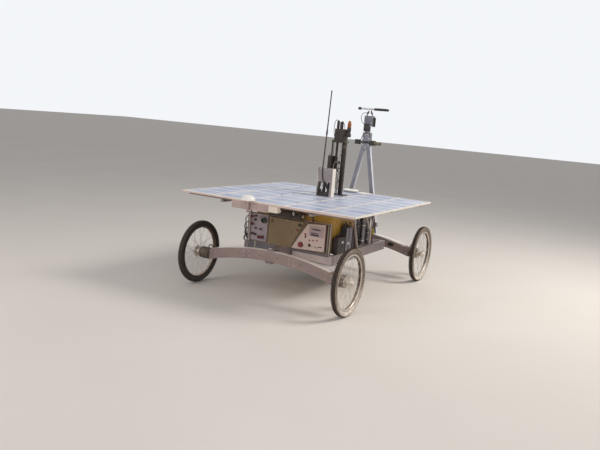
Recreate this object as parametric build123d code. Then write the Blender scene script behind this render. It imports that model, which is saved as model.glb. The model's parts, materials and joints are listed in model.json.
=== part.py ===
"""Planetary rover: a four-wheel solar field robot with a drill and a camera mast.

Units are millimetres. +X is the rover's right, +Y is forward, +Z is up, and the origin is on
the floor midway between the four wheels. Each sub-part is one STEP file in parts/.
"""
from build123d import *

import os
from math import cos, pi, radians, sin, sqrt

# How many flat sides a round piece has
WHEEL_SIDES = 40
HUB_SIDES = 16
DISC_SIDES = 20
ROD_SIDES = 12
BUTTON_SIDES = 8
SPOKE_SIDES = 3
ARCH_STEPS = 14
CORNER_STEPS = 7

# Running gear
WHEELBASE = 1920
TRACK = 1640
WHEEL_D = 617
TYRE_W = 54
CROWN_W = 26
RIM_SEAT_D = 507
RIM_W = 32
RIM_BED_W = 18
RIM_DEPTH = 15
SPOKES = 36
SPOKE_CROSSINGS = 3
SPOKE_D = 3
SPOKE_SPREAD = 4.5
FLANGE_D = 104
FLANGE_T = 4
FLANGE_OFFSET = 26
HUB_D = 52
HUB_CAP_D = 30
HUB_CAP_REACH = 50
STUB_D = 20
RUNNING_FIT = 0.05
SEAT_GAP = 0.3
MOVING_GAP = 6

# Axle beams, kingpins and pivot arms
BEAM_R = 2490
BEAM_H = 100
BEAM_W = 60
DRIVE_D = 112
DRIVE_L = 108
KINGPIN_D = 24
KINGPIN_HEAD_D = 44
KINGPIN_HEAD_H = 10
KINGPIN_NUT_H = 16
THRUST_BOSS_D = 60
THRUST_BOSS_H = 8
FORK_T = 10
FORK_W = 84
FORK_THROAT = 80

# Chassis frame
FRAME_W = 1000
FRAME_L = 1300
RAIL_W = 45
RAIL_H = 95
RAIL_TOP = 445
PLATE_T = 3
PLATE_MARGIN = 7
PLATE_FROM_ARM = 18

# Solar panel
PANEL_W = 1832
PANEL_REAR = -1170
PANEL_FRONT = 820
PANEL_T = 12
PANEL_TOP = 917
CELL_T = 1.5
CELL_MARGIN = 16
CELL_GAP = 20
INNER_STRING_X = 213
OUTER_STRING_X = 567
RIB_W = 30
RIB_H = 22
RIB_INSET = 30
RIB_END = 40
POST_W = 18
POST_REACH = 26
MIDDLE_POST_INSET = 422
MIDDLE_POST_LEAN = 186
BRACKET_EDGES = (58, 155)
SKIRT_L = 390
SKIRT_W = 60
SKIRT_H = 70
V_FOOT = (270, 590)
V_TOPS = (16, 378)
V_BAR = (9, 20)
STAND_W = 30

# Bodywork
WALL_LEFT_INSET = 25
WALL_RIGHT_INSET = 43
WALL_T = 20
WALL_H = 290
TRAY_INSETS = (250, 327)
TRAY_H = 50
TRAY_LIP = 10
SHEET_T = 4
PANEL_SHEET = 6
SOCKETS_W = 235
SHEET_MARGIN = 18
BATTERY_W = 64
BATTERY_INSET = 4
SHELL_L = 610
SHELL_ROUND = 90
SHELL_BEVEL = 34
SHELL_CLEARANCE = 3
BAY_GAP = 20
BAY_INSET = 50
BAY_T = 6
LEFT_POST_INSET = 35
UPRIGHT_INSET = 99
SMALL_SOCKET_R = 14

# Drill
DRILL_Y = 270
RAIL_D = 26
DRILL_RAIL_X = -12
COLUMN_X = 74
COLUMN_W = 44
SCREW_D = 9
SCREW_X = 28
SLOT_MARGIN = 44
HEAD_BOTTOM = 1475
HEAD_TOP = 1620
CARRIAGE_BOTTOM = 1190
CARRIAGE_H = 140
AUGER_X = -62
AUGER_D = 24
AUGER_L = 560
MOTOR_D = 40
MOTOR_OFFSET = 35

# Mast
MAST_Y = 1021
MAST_FOOT_X = 225
MAST_LEG_W = 46
MAST_APEX_Z = 1470
MAST_NECK_H = 140
PAN_DRUM_H = 90
PAN_BOX_H = 120
PAN_BOX_DROP = 28
TILT_RISE = 30
BAR_RISE = 48
PAN_DRUM_D = 68
TILT_FORWARD = 20
TILT_PIN_D = 10

# Aerials
BRACKET_X = (-52, 128)
BRACKET_Y = (-50, 50)
BRACKET_TOP = 1210
WHIP_FOOT = (-32, 8, 1000)
WHIP_TOP = (0, 0, 2005)
WHIP_D = 10
WHIP_COIL_Z = (1548, 1600)
BRACKET_FACE_H = 140
BRACKET_LEG_W = 26
DOME_X = -147
DOME_R = 64
DISC_X = -4
DISC_D = 176
DISC_INSET = 105
LID_X = (100, 235)
LID_INSETS = (160, 20)
LID_T = 6

# Worked out from the sizes above
WHEEL_R = WHEEL_D / 2
AXLE_X = TRACK / 2
AXLE_Y = WHEELBASE / 2
RIM_SEAT_R = RIM_SEAT_D / 2
RIM_BED_R = RIM_SEAT_R - RIM_DEPTH
HUB_END = FLANGE_OFFSET + FLANGE_T / 2
DRIVE_END = AXLE_X - HUB_END - MOVING_GAP
BEAM_HALF_SPAN = DRIVE_END - DRIVE_L
BEAM_CENTRE_Z = WHEEL_R - sqrt(BEAM_R**2 - BEAM_HALF_SPAN**2)
BEAM_TOP = BEAM_CENTRE_Z + BEAM_R + BEAM_H / 2
BEAM_BOTTOM = BEAM_TOP - BEAM_H
FORK_TOP = BEAM_TOP + THRUST_BOSS_H + FORK_T
FORK_BOTTOM = BEAM_BOTTOM - THRUST_BOSS_H - FORK_T
RAIL_BOTTOM = RAIL_TOP - RAIL_H
PANEL_BOTTOM = PANEL_TOP - PANEL_T
CELL_TOP = PANEL_TOP + CELL_T
RIB_BOTTOM = PANEL_BOTTOM - 2 * RIB_H
RIB_X = FRAME_W / 2 - RIB_INSET
WALL_X = (WALL_LEFT_INSET - FRAME_W / 2, FRAME_W / 2 - WALL_RIGHT_INSET)
WALL_Y = (-FRAME_L / 2, WALL_T - FRAME_L / 2)
SOCKETS_RIGHT = WALL_X[0] + SOCKETS_W
POST_X = WALL_X[0] + LEFT_POST_INSET
WALL_TOP = RAIL_TOP + WALL_H
MIDDLE_POST_Y = MIDDLE_POST_INSET - FRAME_L / 2
SHELL_X = FRAME_W / 2 - BATTERY_INSET - BATTERY_W - 2
SHELL_Y = (WALL_Y[1] + SEAT_GAP, WALL_Y[1] + SHELL_L)
SHELL_TOP = RIB_BOTTOM - SHELL_CLEARANCE
BAY_X = FRAME_W / 2 - RAIL_W
BAY_REAR = SHELL_Y[1] + BAY_GAP
BAY_FRONT = FRAME_L / 2 - BAY_INSET
BAY_TOP = RAIL_TOP + BAY_T
MOTOR_X = COLUMN_X + MOTOR_OFFSET
MOTOR_FOOT = HEAD_TOP - 45
SLOT_X = (AUGER_X - SLOT_MARGIN, COLUMN_X + COLUMN_W / 2 + SLOT_MARGIN)
SLOT_Y = (DRILL_Y - COLUMN_W / 2 - SLOT_MARGIN, DRILL_Y + COLUMN_W / 2 + SLOT_MARGIN)
CARRIAGE_TOP = CARRIAGE_BOTTOM + CARRIAGE_H
MAST_HEAD_Z = MAST_APEX_Z + MAST_NECK_H
PAN_DRUM_TOP = MAST_HEAD_Z + PAN_DRUM_H
PAN_BOX_Z = PAN_DRUM_TOP - PAN_BOX_DROP
PAN_BOX_TOP = PAN_BOX_Z + PAN_BOX_H
TILT_Z = PAN_BOX_TOP + TILT_RISE
BAR_Z = TILT_Z + BAR_RISE


def block(x, y, z):
    """A box between two values on each axis."""
    size = [high - low for low, high in (x, y, z)]
    middle = [(high + low) / 2 for low, high in (x, y, z)]
    return Pos(*middle) * Box(*size)


def shaft(start, end, radius):
    """A true cylinder from one point to another, for a pin or a guide."""
    start, end = Vector(*start), Vector(*end)
    plane = Plane(origin=start, z_dir=end - start)
    return extrude(plane * Circle(radius), (end - start).length)


def bore(start, end, radius):
    """What is cut away for a round pin of a radius: flat sides that clear it by the running fit."""
    start, end = Vector(*start), Vector(*end)
    plane = Plane(origin=start, z_dir=end - start)
    across = RegularPolygon(radius + RUNNING_FIT, ROD_SIDES, major_radius=False)
    return extrude(plane * across, (end - start).length)


def rod(start, end, radius, sides=ROD_SIDES):
    """A round bar with flat sides from one point to another."""
    start, end = Vector(*start), Vector(*end)
    plane = Plane(origin=start, z_dir=end - start)
    return extrude(plane * RegularPolygon(radius, sides), (end - start).length)


def strut(start, end, width, depth):
    """A square-edged bar from one point to another, with its depth along Y."""
    start, end = Vector(*start), Vector(*end)
    plane = Plane(origin=start, x_dir=(0, 1, 0), z_dir=end - start)
    return extrude(plane * Rectangle(depth, width), (end - start).length)


def plate_xz(points, y_front, thickness):
    """A flat plate cut to an outline of (x, z) points, reaching from y_front towards +Y."""
    face = make_face(Polyline(*points, close=True))
    return Pos(0, y_front, 0) * extrude(Plane.XZ * face, -thickness)


def skinned(rows, ring=False):
    """A solid from rows of as many points each, with a flat face between each four of them."""
    bands = list(zip(rows, rows[1:]))
    if ring:
        bands.append((rows[-1], rows[0]))
        outlines = []
    else:
        outlines = [rows[0], rows[-1]]
    count = len(rows[0])
    for near, far in bands:
        for index in range(count):
            after = (index + 1) % count
            outlines.append([near[index], near[after], far[after], far[index]])
    return Solid(Shell([Face(Wire.make_polygon(points)) for points in outlines]))


def faceted(profile, sides, ring=False):
    """A flat-sided piece about the X axis, from (x, distance to the flats) points."""
    turn = 2 * pi / sides
    angles = [turn * (index + 0.5) for index in range(sides)]
    rows = []
    for x, radius in profile:
        reach = radius / cos(turn / 2)
        rows.append([(x, reach * cos(angle), reach * sin(angle)) for angle in angles])
    return skinned(rows, ring)


def upright(x, y, profile, sides):
    """A flat-sided piece about an upright axis at (x, y), from (z, distance to the flats) points."""
    return Pos(x, y, 0) * Rot(0, -90, 0) * faceted(profile, sides)


def both_ways(profile):
    """A closed profile from its +X half, with the same points at -X."""
    return profile + [(-x, radius) for x, radius in reversed(profile)]


def mirrored(piece):
    """The same piece on the other side of the rover."""
    return mirror(piece, Plane.YZ)


def solids(pieces):
    """One node that holds several solids."""
    return Compound(children=[solid for piece in pieces for solid in piece.solids()])


# Wheels

def tyre():
    """A bicycle-size tyre: its seat on the rim, bulging walls, shoulders and a flat crown."""
    seat = RIM_SEAT_R + SEAT_GAP
    widest = (seat + WHEEL_R) / 2 + 2
    half = [(RIM_W / 2, seat), (TYRE_W / 2, widest), (CROWN_W / 2, WHEEL_R)]
    return faceted(both_ways(half), WHEEL_SIDES, ring=True)


def rim():
    """A box-section rim, narrower at the bed that takes the spokes."""
    half = [(RIM_W / 2, RIM_SEAT_R), (RIM_BED_W / 2, RIM_BED_R)]
    return faceted(both_ways(half), WHEEL_SIDES, ring=True)


def hub():
    """A two-flange hub with a blind bore for the stub shaft and a tapered outer cap."""
    inner = FLANGE_OFFSET - FLANGE_T / 2
    barrel = HUB_D / 2
    flange = FLANGE_D / 2
    profile = [(-HUB_END, flange), (-inner, flange), (-inner, barrel), (inner, barrel)]
    profile += [(inner, flange), (HUB_END, flange), (HUB_END, barrel)]
    profile += [(HUB_CAP_REACH, HUB_CAP_D / 2)]
    return faceted(profile, HUB_SIDES) - bore((-HUB_END - 1, 0, 0), (inner, 0, 0), STUB_D / 2)


def spokes():
    """Spokes laced across each other, half from each flange and half of those each way round."""
    per_flange = SPOKES // 2
    step = 360 / per_flange
    swing = SPOKE_CROSSINGS * step
    hub_r = FLANGE_D / 2 - 6
    rim_r = RIM_BED_R + 1.5
    made = []
    for flange in (-1, 1):
        for index in range(per_flange):
            leading = 1 if index % 2 else -1
            start = radians(step * index + (step / 2 if flange > 0 else 0))
            end = start + leading * radians(swing)
            at_hub = flange * (FLANGE_OFFSET + leading * (FLANGE_T + SPOKE_D) / 2)
            at_rim = flange * (SPOKE_SPREAD + leading * SPOKE_D * 0.6)
            first = (at_hub, hub_r * cos(start), hub_r * sin(start))
            last = (at_rim, rim_r * cos(end), rim_r * sin(end))
            plane = Plane(origin=first, x_dir=(1, 0, 0), z_dir=Vector(*last) - Vector(*first))
            length = (Vector(*last) - Vector(*first)).length
            made.append(extrude(plane * RegularPolygon(SPOKE_D * 0.62, SPOKE_SIDES), length))
    return made


def wire_wheel():
    """Rim, spokes and hub in one piece, with the outer side towards +X."""
    return rim() + hub() + spokes()


# Axles

def arch_outline():
    """The beam's side view: its upper arc from left to right, then its lower arc back."""
    upper, lower = [], []
    for index in range(ARCH_STEPS + 1):
        x = BEAM_HALF_SPAN * (2 * index / ARCH_STEPS - 1)
        for row, radius in ((upper, BEAM_R + BEAM_H / 2), (lower, BEAM_R - BEAM_H / 2)):
            row.append((x, BEAM_CENTRE_Z + sqrt(radius**2 - x**2)))
    return upper + lower[::-1]


def arch_beam():
    """A box beam that follows one arc from wheel to wheel, bored for its kingpin."""
    rows = []
    for y in (-BEAM_W / 2, BEAM_W / 2):
        rows.append([(x, y, z) for x, z in arch_outline()])
    beam = skinned(rows)
    boss_low = BEAM_BOTTOM - THRUST_BOSS_H + SEAT_GAP
    boss_high = BEAM_TOP + THRUST_BOSS_H - SEAT_GAP
    beam += rod((0, 0, boss_low), (0, 0, boss_high), THRUST_BOSS_D / 2)
    return beam - bore((0, 0, boss_low - 1), (0, 0, boss_high + 1), KINGPIN_D / 2)


def drive_unit():
    """A geared hub motor on the beam's right end, with the stub shaft that carries the wheel."""
    face = BEAM_HALF_SPAN
    end = DRIVE_END
    half = BEAM_H / 2 - 2
    flange = block((face, face + 8), (-BEAM_W / 2, BEAM_W / 2), (WHEEL_R - half, WHEEL_R + half))
    body = rod((face + 8, 0, WHEEL_R), (end - 8, 0, WHEEL_R), DRIVE_D / 2, DISC_SIDES)
    nose = rod((end - 8, 0, WHEEL_R), (end, 0, WHEEL_R), HUB_D / 2)
    tip = AXLE_X + FLANGE_OFFSET - MOVING_GAP
    return flange + body + nose + shaft((end, 0, WHEEL_R), (tip, 0, WHEEL_R), STUB_D / 2)


def kingpin():
    """A headed pin through fork and beam, with its nut underneath."""
    low = (0, 0, FORK_BOTTOM - KINGPIN_NUT_H)
    high = (0, 0, FORK_TOP + KINGPIN_HEAD_H)
    pin = shaft(low, high, KINGPIN_D / 2)
    head = rod((0, 0, FORK_TOP), high, KINGPIN_HEAD_D / 2)
    nut = rod(low, (0, 0, FORK_BOTTOM), KINGPIN_HEAD_D / 2, 6)
    return pin + head + nut


def pivot_arm():
    """The forked arm that reaches forward from the frame and holds the front kingpin."""
    frame_end = FRAME_L / 2
    rise = frame_end + 40
    throat = AXLE_Y - FORK_THROAT
    tip = AXLE_Y + FORK_W / 2
    top = FORK_TOP
    profile = [(frame_end, RAIL_BOTTOM + 2), (frame_end, RAIL_TOP - 2), (rise, RAIL_TOP - 2)]
    profile += [(rise + 40, top), (tip, top), (tip, top - FORK_T), (throat, top - FORK_T)]
    profile += [(throat, FORK_BOTTOM + FORK_T), (tip, FORK_BOTTOM + FORK_T)]
    profile += [(tip, FORK_BOTTOM), (rise + 40, FORK_BOTTOM)]
    side = make_face(Polyline(*profile, close=True))
    arm = extrude(Plane.YZ * side, FORK_W / 2, both=True)
    corner = (0, AXLE_Y, FORK_BOTTOM - 1)
    outline = Pos(0, (frame_end + AXLE_Y) / 2) * Rectangle(FORK_W, AXLE_Y - frame_end)
    outline += Pos(0, AXLE_Y) * RegularPolygon(FORK_W / 2, ROD_SIDES, major_radius=False)
    plan = Pos(0, 0, corner[2]) * extrude(outline, top - corner[2] + 1)
    return (arm & plan) - bore(corner, (0, AXLE_Y, top + 1), KINGPIN_D / 2)


# Chassis

def side_rail():
    """The right-hand box rail of the ladder frame."""
    return block((FRAME_W / 2 - RAIL_W, FRAME_W / 2), (-FRAME_L / 2, FRAME_L / 2),
                 (RAIL_BOTTOM, RAIL_TOP))


def cross_rails():
    """Three box rails between the side rails, at the rear, the middle and the front."""
    inside = FRAME_W / 2 - RAIL_W
    end = (FRAME_L - RAIL_W) / 2
    made = []
    for y in (-end, -RAIL_W / 2, end):
        made.append(block((-inside, inside), (y - RAIL_W / 2, y + RAIL_W / 2),
                          (RAIL_BOTTOM, RAIL_TOP)))
    return made


def name_plate():
    """A blank plate on the rear face of the frame."""
    y = -FRAME_L / 2
    return block((FORK_W / 2 + PLATE_FROM_ARM, FRAME_W / 2 - PLATE_MARGIN), (y - PLATE_T, y),
                 (RAIL_BOTTOM + PLATE_MARGIN, RAIL_TOP - PLATE_MARGIN))


# Bodywork

def service_wall():
    """The rear bulkhead that carries the panels, with the cable tray along its top."""
    tray_x = (WALL_X[0] + TRAY_INSETS[0], WALL_X[1] - TRAY_INSETS[1])
    tray = block(tray_x, (WALL_Y[0] - TRAY_LIP, WALL_Y[1]), (WALL_TOP, WALL_TOP + TRAY_H))
    return block(WALL_X, WALL_Y, (RAIL_TOP, WALL_TOP)) + tray


def from_right(points):
    """(x, z) points from (distance in from the wall's right edge, height above the frame)."""
    return [(WALL_X[1] - inset, RAIL_TOP + height) for inset, height in points]


def access_panel():
    """The large blank panel left of the controls, with its slanted right edge."""
    low, high = RAIL_TOP + 5, WALL_TOP - 15
    left = SOCKETS_RIGHT + SHEET_MARGIN
    points = [(left, low), (left, high)] + from_right([(296, 271), (425, 5)])
    return plate_xz(points, WALL_Y[0] - SHEET_T, SHEET_T)


def control_panel():
    """The control plate, with its slanted left edge."""
    points = from_right([(413, 5), (250, 264), (60, 282), (54, 22)])
    return plate_xz(points, WALL_Y[0] - PANEL_SHEET, PANEL_SHEET)


def controls():
    """The display, a key slot, the stop button, a knob, a lever and five push buttons."""
    face = WALL_Y[0] - PANEL_SHEET
    displays = [
        # left and right inset from the wall's right edge, bottom and top above the frame
        (227, 72, 155, 255),
        (122, 82, 58, 74),
    ]
    buttons = [
        # inset, height, radius, reach, sides
        (309, 56, 24, 22, 16),
        (215, 64, 13, 16, ROD_SIDES),
        (180, 60, 5, 20, BUTTON_SIDES),
        (267, 161, 7, 8, BUTTON_SIDES),
        (265, 138, 7, 8, BUTTON_SIDES),
        (218, 110, 6, 8, BUTTON_SIDES),
        (180, 116, 6, 8, BUTTON_SIDES),
        (139, 119, 6, 8, BUTTON_SIDES),
    ]
    made = []
    for left, right, bottom, top in displays:
        (x0, z0), (x1, z1) = from_right([(left, bottom), (right, top)])
        made.append(block((x0, x1), (face - 4, face), (z0, z1)))
    for inset, height, radius, reach, sides in buttons:
        x, z = from_right([(inset, height)])[0]
        made.append(rod((x, face, z), (x, face - reach, z), radius, sides))
    return made


def connector_panel():
    """The pale plate of sockets at the left of the bulkhead, in two parts beside the post."""
    y = (WALL_Y[0] - PANEL_SHEET, WALL_Y[0])
    z = (RAIL_TOP + 13, WALL_TOP - 7)
    clear = POST_W / 2 + 2
    return [block((WALL_X[0] + 5, POST_X - clear), y, z),
            block((POST_X + clear, SOCKETS_RIGHT), y, z)]


def connectors():
    """Round sockets standing on the connector panel."""
    face = WALL_Y[0] - PANEL_SHEET
    table = [
        # inset from the wall's left edge, height above the frame, radius, reach
        (196, 228, 34, 26),
        (162, 134, 12, 14),
        (151, 54, 18, 22),
        (189, 60, 18, 22),
        (95, 220, 13, 24),
        (101, 260, 11, 20),
        (61, 250, 12, 30),
        (68, 177, 14, 34),
        (72, 81, 13, 30),
        (104, 75, 13, 24),
        (104, 137, 11, 20),
    ]
    made = []
    for inset, height, radius, reach in table:
        x, z = WALL_X[0] + inset, RAIL_TOP + height
        sides = ROD_SIDES if radius > SMALL_SOCKET_R else BUTTON_SIDES
        made.append(rod((x, face, z), (x, face - reach, z), radius, sides))
    return made


def corner_posts():
    """The pale post at the rear left, the strips up the wall's right edge and a short upright."""
    half = POST_W / 2
    rear = WALL_Y[0]
    made = [block((POST_X - half, POST_X + half), (rear - POST_REACH, rear),
                  (RAIL_TOP, RIB_BOTTOM + RIB_H))]
    for left, right, rise in ((32, 26, 0), (8, 0, 14)):
        x = (WALL_X[1] - left, WALL_X[1] - right)
        made.append(block(x, (rear - PANEL_SHEET, rear), (RAIL_TOP, WALL_TOP + rise)))
    x = WALL_X[0] + UPRIGHT_INSET
    made.append(block((x, x + 12), (rear - PANEL_SHEET, rear), (RAIL_TOP - 68, RAIL_TOP + 9)))
    return made


def body_shell():
    """The rounded mustard housing behind the bulkhead."""
    middle = (SHELL_Y[0] + SHELL_Y[1]) / 2
    centre = (SHELL_X - SHELL_ROUND, SHELL_Y[1] - middle - SHELL_ROUND)
    rows = []
    for z, inset in ((RAIL_TOP, 0), (SHELL_TOP - SHELL_BEVEL, 0), (SHELL_TOP, SHELL_BEVEL)):
        row = []
        for quarter, (side_x, side_y) in enumerate(((1, 1), (-1, 1), (-1, -1), (1, -1))):
            for step in range(CORNER_STEPS + 1):
                angle = pi / 2 * (quarter + step / CORNER_STEPS)
                x = side_x * centre[0] + (SHELL_ROUND - inset) * cos(angle)
                y = side_y * centre[1] + (SHELL_ROUND - inset) * sin(angle)
                row.append((x, middle + y, z))
        rows.append(row)
    return skinned(rows)


def battery_boxes():
    """Cased batteries on the right-hand side rail, beside the housing."""
    inner = FRAME_W / 2 - BATTERY_INSET - BATTERY_W
    table = [
        # rear and front from the frame's rear end, width, height
        (90, 250, BATTERY_W, 155),
        (260, 400, BATTERY_W, 248),
        (500, 620, BATTERY_W - 40, 175),
    ]
    made = []
    for rear, front, width, height in table:
        y = (rear - FRAME_L / 2, front - FRAME_L / 2)
        made.append(block((inner, inner + width), y, (RAIL_TOP, RAIL_TOP + height)))
    return made


def bay_floor():
    """The deck plate under the instruments, with a hole that the auger passes."""
    deck = block((-BAY_X, BAY_X), (BAY_REAR, BAY_FRONT), (RAIL_TOP, BAY_TOP))
    hole = bore((AUGER_X, DRILL_Y, RAIL_TOP - 1), (AUGER_X, DRILL_Y, BAY_TOP + 1),
                AUGER_D / 2 + MOVING_GAP)
    return deck - hole


def instrument_boxes():
    """Closed instrument cases on the deck, clear of the drill."""
    left, right, rear, front = -BAY_X, BAY_X, BAY_REAR, BAY_FRONT
    made = [block((left + 15, left + 285), (rear + 20, rear + 190), (BAY_TOP, BAY_TOP + 250))]
    made.append(block((left + 15, left + 265), (rear + 210, front - 40), (BAY_TOP, BAY_TOP + 200)))
    made.append(block((right - 305, right - 75), (rear + 20, rear + 150), (BAY_TOP, BAY_TOP + 270)))
    made.append(block((left + 295, right - 125), (front - 200, front - 10), (BAY_TOP, BAY_TOP + 240)))
    return made


def gas_bottles():
    """Upright cylinders on the right side of the deck."""
    table = [
        # inset from the deck's right side, distance from its rear edge, radius, height
        (45, 205, 26, 240),
        (105, 215, 22, 220),
        (40, 330, 20, 150),
    ]
    made = []
    for inset, forward, radius, height in table:
        x, y = BAY_X - inset, BAY_REAR + forward
        made.append(rod((x, y, BAY_TOP), (x, y, BAY_TOP + height), radius))
    return made


# Solar panel

def slot():
    """The opening in the panel round the drill, as a box taller than the panel."""
    return block(SLOT_X, SLOT_Y, (PANEL_BOTTOM - 1, CELL_TOP + 1))


def solar_panel():
    """The stiff tray under the cells."""
    half = PANEL_W / 2
    return block((-half, half), (PANEL_REAR, PANEL_FRONT), (PANEL_BOTTOM, PANEL_TOP)) - slot()


def solar_cells():
    """Five strings of cells along the panel, with pale gaps between them."""
    half = PANEL_W / 2 - CELL_MARGIN
    edges = [-half, -OUTER_STRING_X, -INNER_STRING_X, INNER_STRING_X, OUTER_STRING_X, half]
    y = (PANEL_REAR + CELL_MARGIN, PANEL_FRONT - CELL_MARGIN)
    made = []
    for index in range(5):
        left = edges[index] + (CELL_GAP / 2 if index > 0 else 0)
        right = edges[index + 1] - (CELL_GAP / 2 if index < 4 else 0)
        made.append(block((left, right), y, (PANEL_TOP, CELL_TOP)) - slot())
    return made


def long_ribs():
    """Two ribs along the rover that rest on the posts."""
    y = (PANEL_REAR + RIB_END, PANEL_FRONT - RIB_END)
    right = block((RIB_X - RIB_W / 2, RIB_X + RIB_W / 2), y, (RIB_BOTTOM, RIB_BOTTOM + RIB_H))
    return [right, mirrored(right)]


def cross_ribs():
    """Four ribs across the panel's underside, one of them on the corner posts."""
    x = (RIB_END - PANEL_W / 2, PANEL_W / 2 - RIB_END)
    z = (RIB_BOTTOM + RIB_H, PANEL_BOTTOM)
    corner = WALL_Y[0] - RIB_W / 2
    places = (PANEL_REAR + 2 * RIB_END, corner, MIDDLE_POST_Y, PANEL_FRONT - 5 * RIB_END)
    return [block(x, (y - RIB_W / 2, y + RIB_W / 2), z) for y in places]


def panel_posts():
    """The leaning middle posts and the V struts on their stands, on both sides."""
    half = POST_W / 2
    lean = MIDDLE_POST_LEAN / (RIB_BOTTOM - RAIL_TOP)
    low, high = RAIL_TOP - RIB_H, RIB_BOTTOM + RIB_H
    span = block((RIB_X - POST_W, RIB_X + POST_W), (-FRAME_L, FRAME_L), (RAIL_TOP, RIB_BOTTOM))
    foot_y = MIDDLE_POST_Y + MIDDLE_POST_LEAN
    post = strut((RIB_X, foot_y + lean * RIB_H, low), (RIB_X, MIDDLE_POST_Y - lean * RIB_H, high),
                 POST_W, POST_W)
    right = [post & span]
    y, z = V_FOOT
    stand = block((RIB_X - half, RIB_X + half), (y - STAND_W / 2, y + STAND_W / 2), (RAIL_TOP, z + 8))
    for top_y in V_TOPS:
        reach = (top_y - y) * (high - z) / (RIB_BOTTOM - z)
        stand += strut((RIB_X, y, z), (RIB_X, y + reach, high), *V_BAR) & span
    right.append(stand)
    return right + [mirrored(piece) for piece in right]


def rear_bracket():
    """The cream bracket under the panel's rear edge: a sheet folded down and back."""
    x0, x1 = BRACKET_EDGES
    y = (PANEL_REAR + 8, PANEL_REAR + 62)
    low = PANEL_BOTTOM - 62
    bracket = block((x0, x1), y, (PANEL_BOTTOM - SHEET_T, PANEL_BOTTOM))
    bracket += block((x0, x1), (y[0], y[0] + SHEET_T), (low, PANEL_BOTTOM))
    for x in (x0, x1 - SHEET_T):
        bracket += block((x, x + SHEET_T), y, (low, PANEL_BOTTOM))
    return bracket


def rear_skirt():
    """The shallow box that hangs under the panel's rear edge, left of the bracket."""
    x = (BRACKET_EDGES[0] - SKIRT_L, BRACKET_EDGES[0] - 2)
    return block(x, (PANEL_REAR + 4, PANEL_REAR + SKIRT_W), (PANEL_BOTTOM - SKIRT_H, PANEL_BOTTOM))


# Drill

def drill_base():
    """The collar that fills the panel's slot, with holes for the auger, rail, screw and column."""
    gap = SEAT_GAP
    low, high = PANEL_BOTTOM, PANEL_TOP + 10
    collar = block((SLOT_X[0] + gap, SLOT_X[1] - gap), (SLOT_Y[0] + gap, SLOT_Y[1] - gap),
                   (low, high))
    holes = [(AUGER_X, AUGER_D / 2 + MOVING_GAP), (DRILL_RAIL_X, RAIL_D / 2), (SCREW_X, SCREW_D / 2)]
    for x, radius in holes:
        collar -= bore((x, DRILL_Y, low - 1), (x, DRILL_Y, high + 1), radius)
    half = COLUMN_W / 2 + RUNNING_FIT
    return collar - block((COLUMN_X - half, COLUMN_X + half), (DRILL_Y - half, DRILL_Y + half),
                          (low - 1, high + 1))


def drill_column():
    """The square column at the right of the drill, from the deck to the drill's head."""
    half = COLUMN_W / 2
    return block((COLUMN_X - half, COLUMN_X + half), (DRILL_Y - half, DRILL_Y + half),
                 (BAY_TOP, HEAD_BOTTOM))


def drill_rails():
    """The round guide rail and the feed screw."""
    made = []
    for x, radius in ((DRILL_RAIL_X, RAIL_D / 2), (SCREW_X, SCREW_D / 2)):
        made.append(shaft((x, DRILL_Y, BAY_TOP), (x, DRILL_Y, HEAD_BOTTOM), radius))
    return made


def drill_head():
    """The block on top of the column, with the feed gearbox and its small motors."""
    half = COLUMN_W / 2 + 16
    right = COLUMN_X + COLUMN_W / 2 + 8
    collar = block((DRILL_RAIL_X - 35, right), (DRILL_Y - half, DRILL_Y + half),
                   (HEAD_BOTTOM, HEAD_BOTTOM + 22))
    gearbox = block((DRILL_RAIL_X - 28, right - 22), (DRILL_Y - half + 4, DRILL_Y + half - 4),
                    (HEAD_BOTTOM + 22, HEAD_TOP))
    seat = MOTOR_D / 2
    arm = block((right - 22, MOTOR_X + seat), (DRILL_Y - seat, DRILL_Y + seat),
                (HEAD_TOP - 80, MOTOR_FOOT))
    head = collar + gearbox + arm
    for x, radius, height in ((DRILL_RAIL_X - 9, 14, 85), (SCREW_X - 8, 18, 74)):
        head += rod((x, DRILL_Y, HEAD_TOP), (x, DRILL_Y, HEAD_TOP + height), radius)
    return head


def spindle_motor():
    """The copper-coloured motor that stands at the right of the drill's head."""
    return rod((MOTOR_X, DRILL_Y, MOTOR_FOOT), (MOTOR_X, DRILL_Y, HEAD_TOP + 92), MOTOR_D / 2, 16)


def drill_carriage():
    """The sliding carriage: a sleeve on the guide rail, the drive motor and a nut on the screw."""
    low, high = CARRIAGE_BOTTOM, CARRIAGE_TOP
    rail = (DRILL_RAIL_X, RAIL_D / 2)
    screw = (SCREW_X, SCREW_D / 2)
    sleeve = rod((rail[0], DRILL_Y, low + 20), (rail[0], DRILL_Y, high - 10), rail[1] + 7)
    motor = block((AUGER_X - 32, AUGER_X + 32), (DRILL_Y - 30, DRILL_Y + 30), (low, high))
    nut = rod((screw[0], DRILL_Y, low + 60), (screw[0], DRILL_Y, low + 85), screw[1] + 6)
    arm = block((rail[0] + 10, screw[0]), (DRILL_Y - 6, DRILL_Y + 6), (low + 60, low + 85))
    chuck = rod((AUGER_X, DRILL_Y, low - 30), (AUGER_X, DRILL_Y, low), AUGER_D / 2 + 3)
    carriage = sleeve + motor + nut + arm + chuck
    for x, radius in (rail, screw):
        carriage -= bore((x, DRILL_Y, low - 1), (x, DRILL_Y, high + 1), radius)
    return carriage


def auger():
    """The drill bit under the carriage, ending in a point."""
    top = CARRIAGE_BOTTOM - 30
    tip = top - AUGER_L
    radius = AUGER_D / 2
    return upright(AUGER_X, DRILL_Y, [(tip, 2), (tip + 30, radius), (top, radius)], ROD_SIDES)


# Aerials

def whip_at(z):
    """Where the leaning whip aerial is at a height."""
    share = (WHIP_TOP[2] - z) / (WHIP_TOP[2] - WHIP_FOOT[2])
    return [top + (foot - top) * share for foot, top in zip(WHIP_FOOT[:2], WHIP_TOP[:2])]


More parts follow.
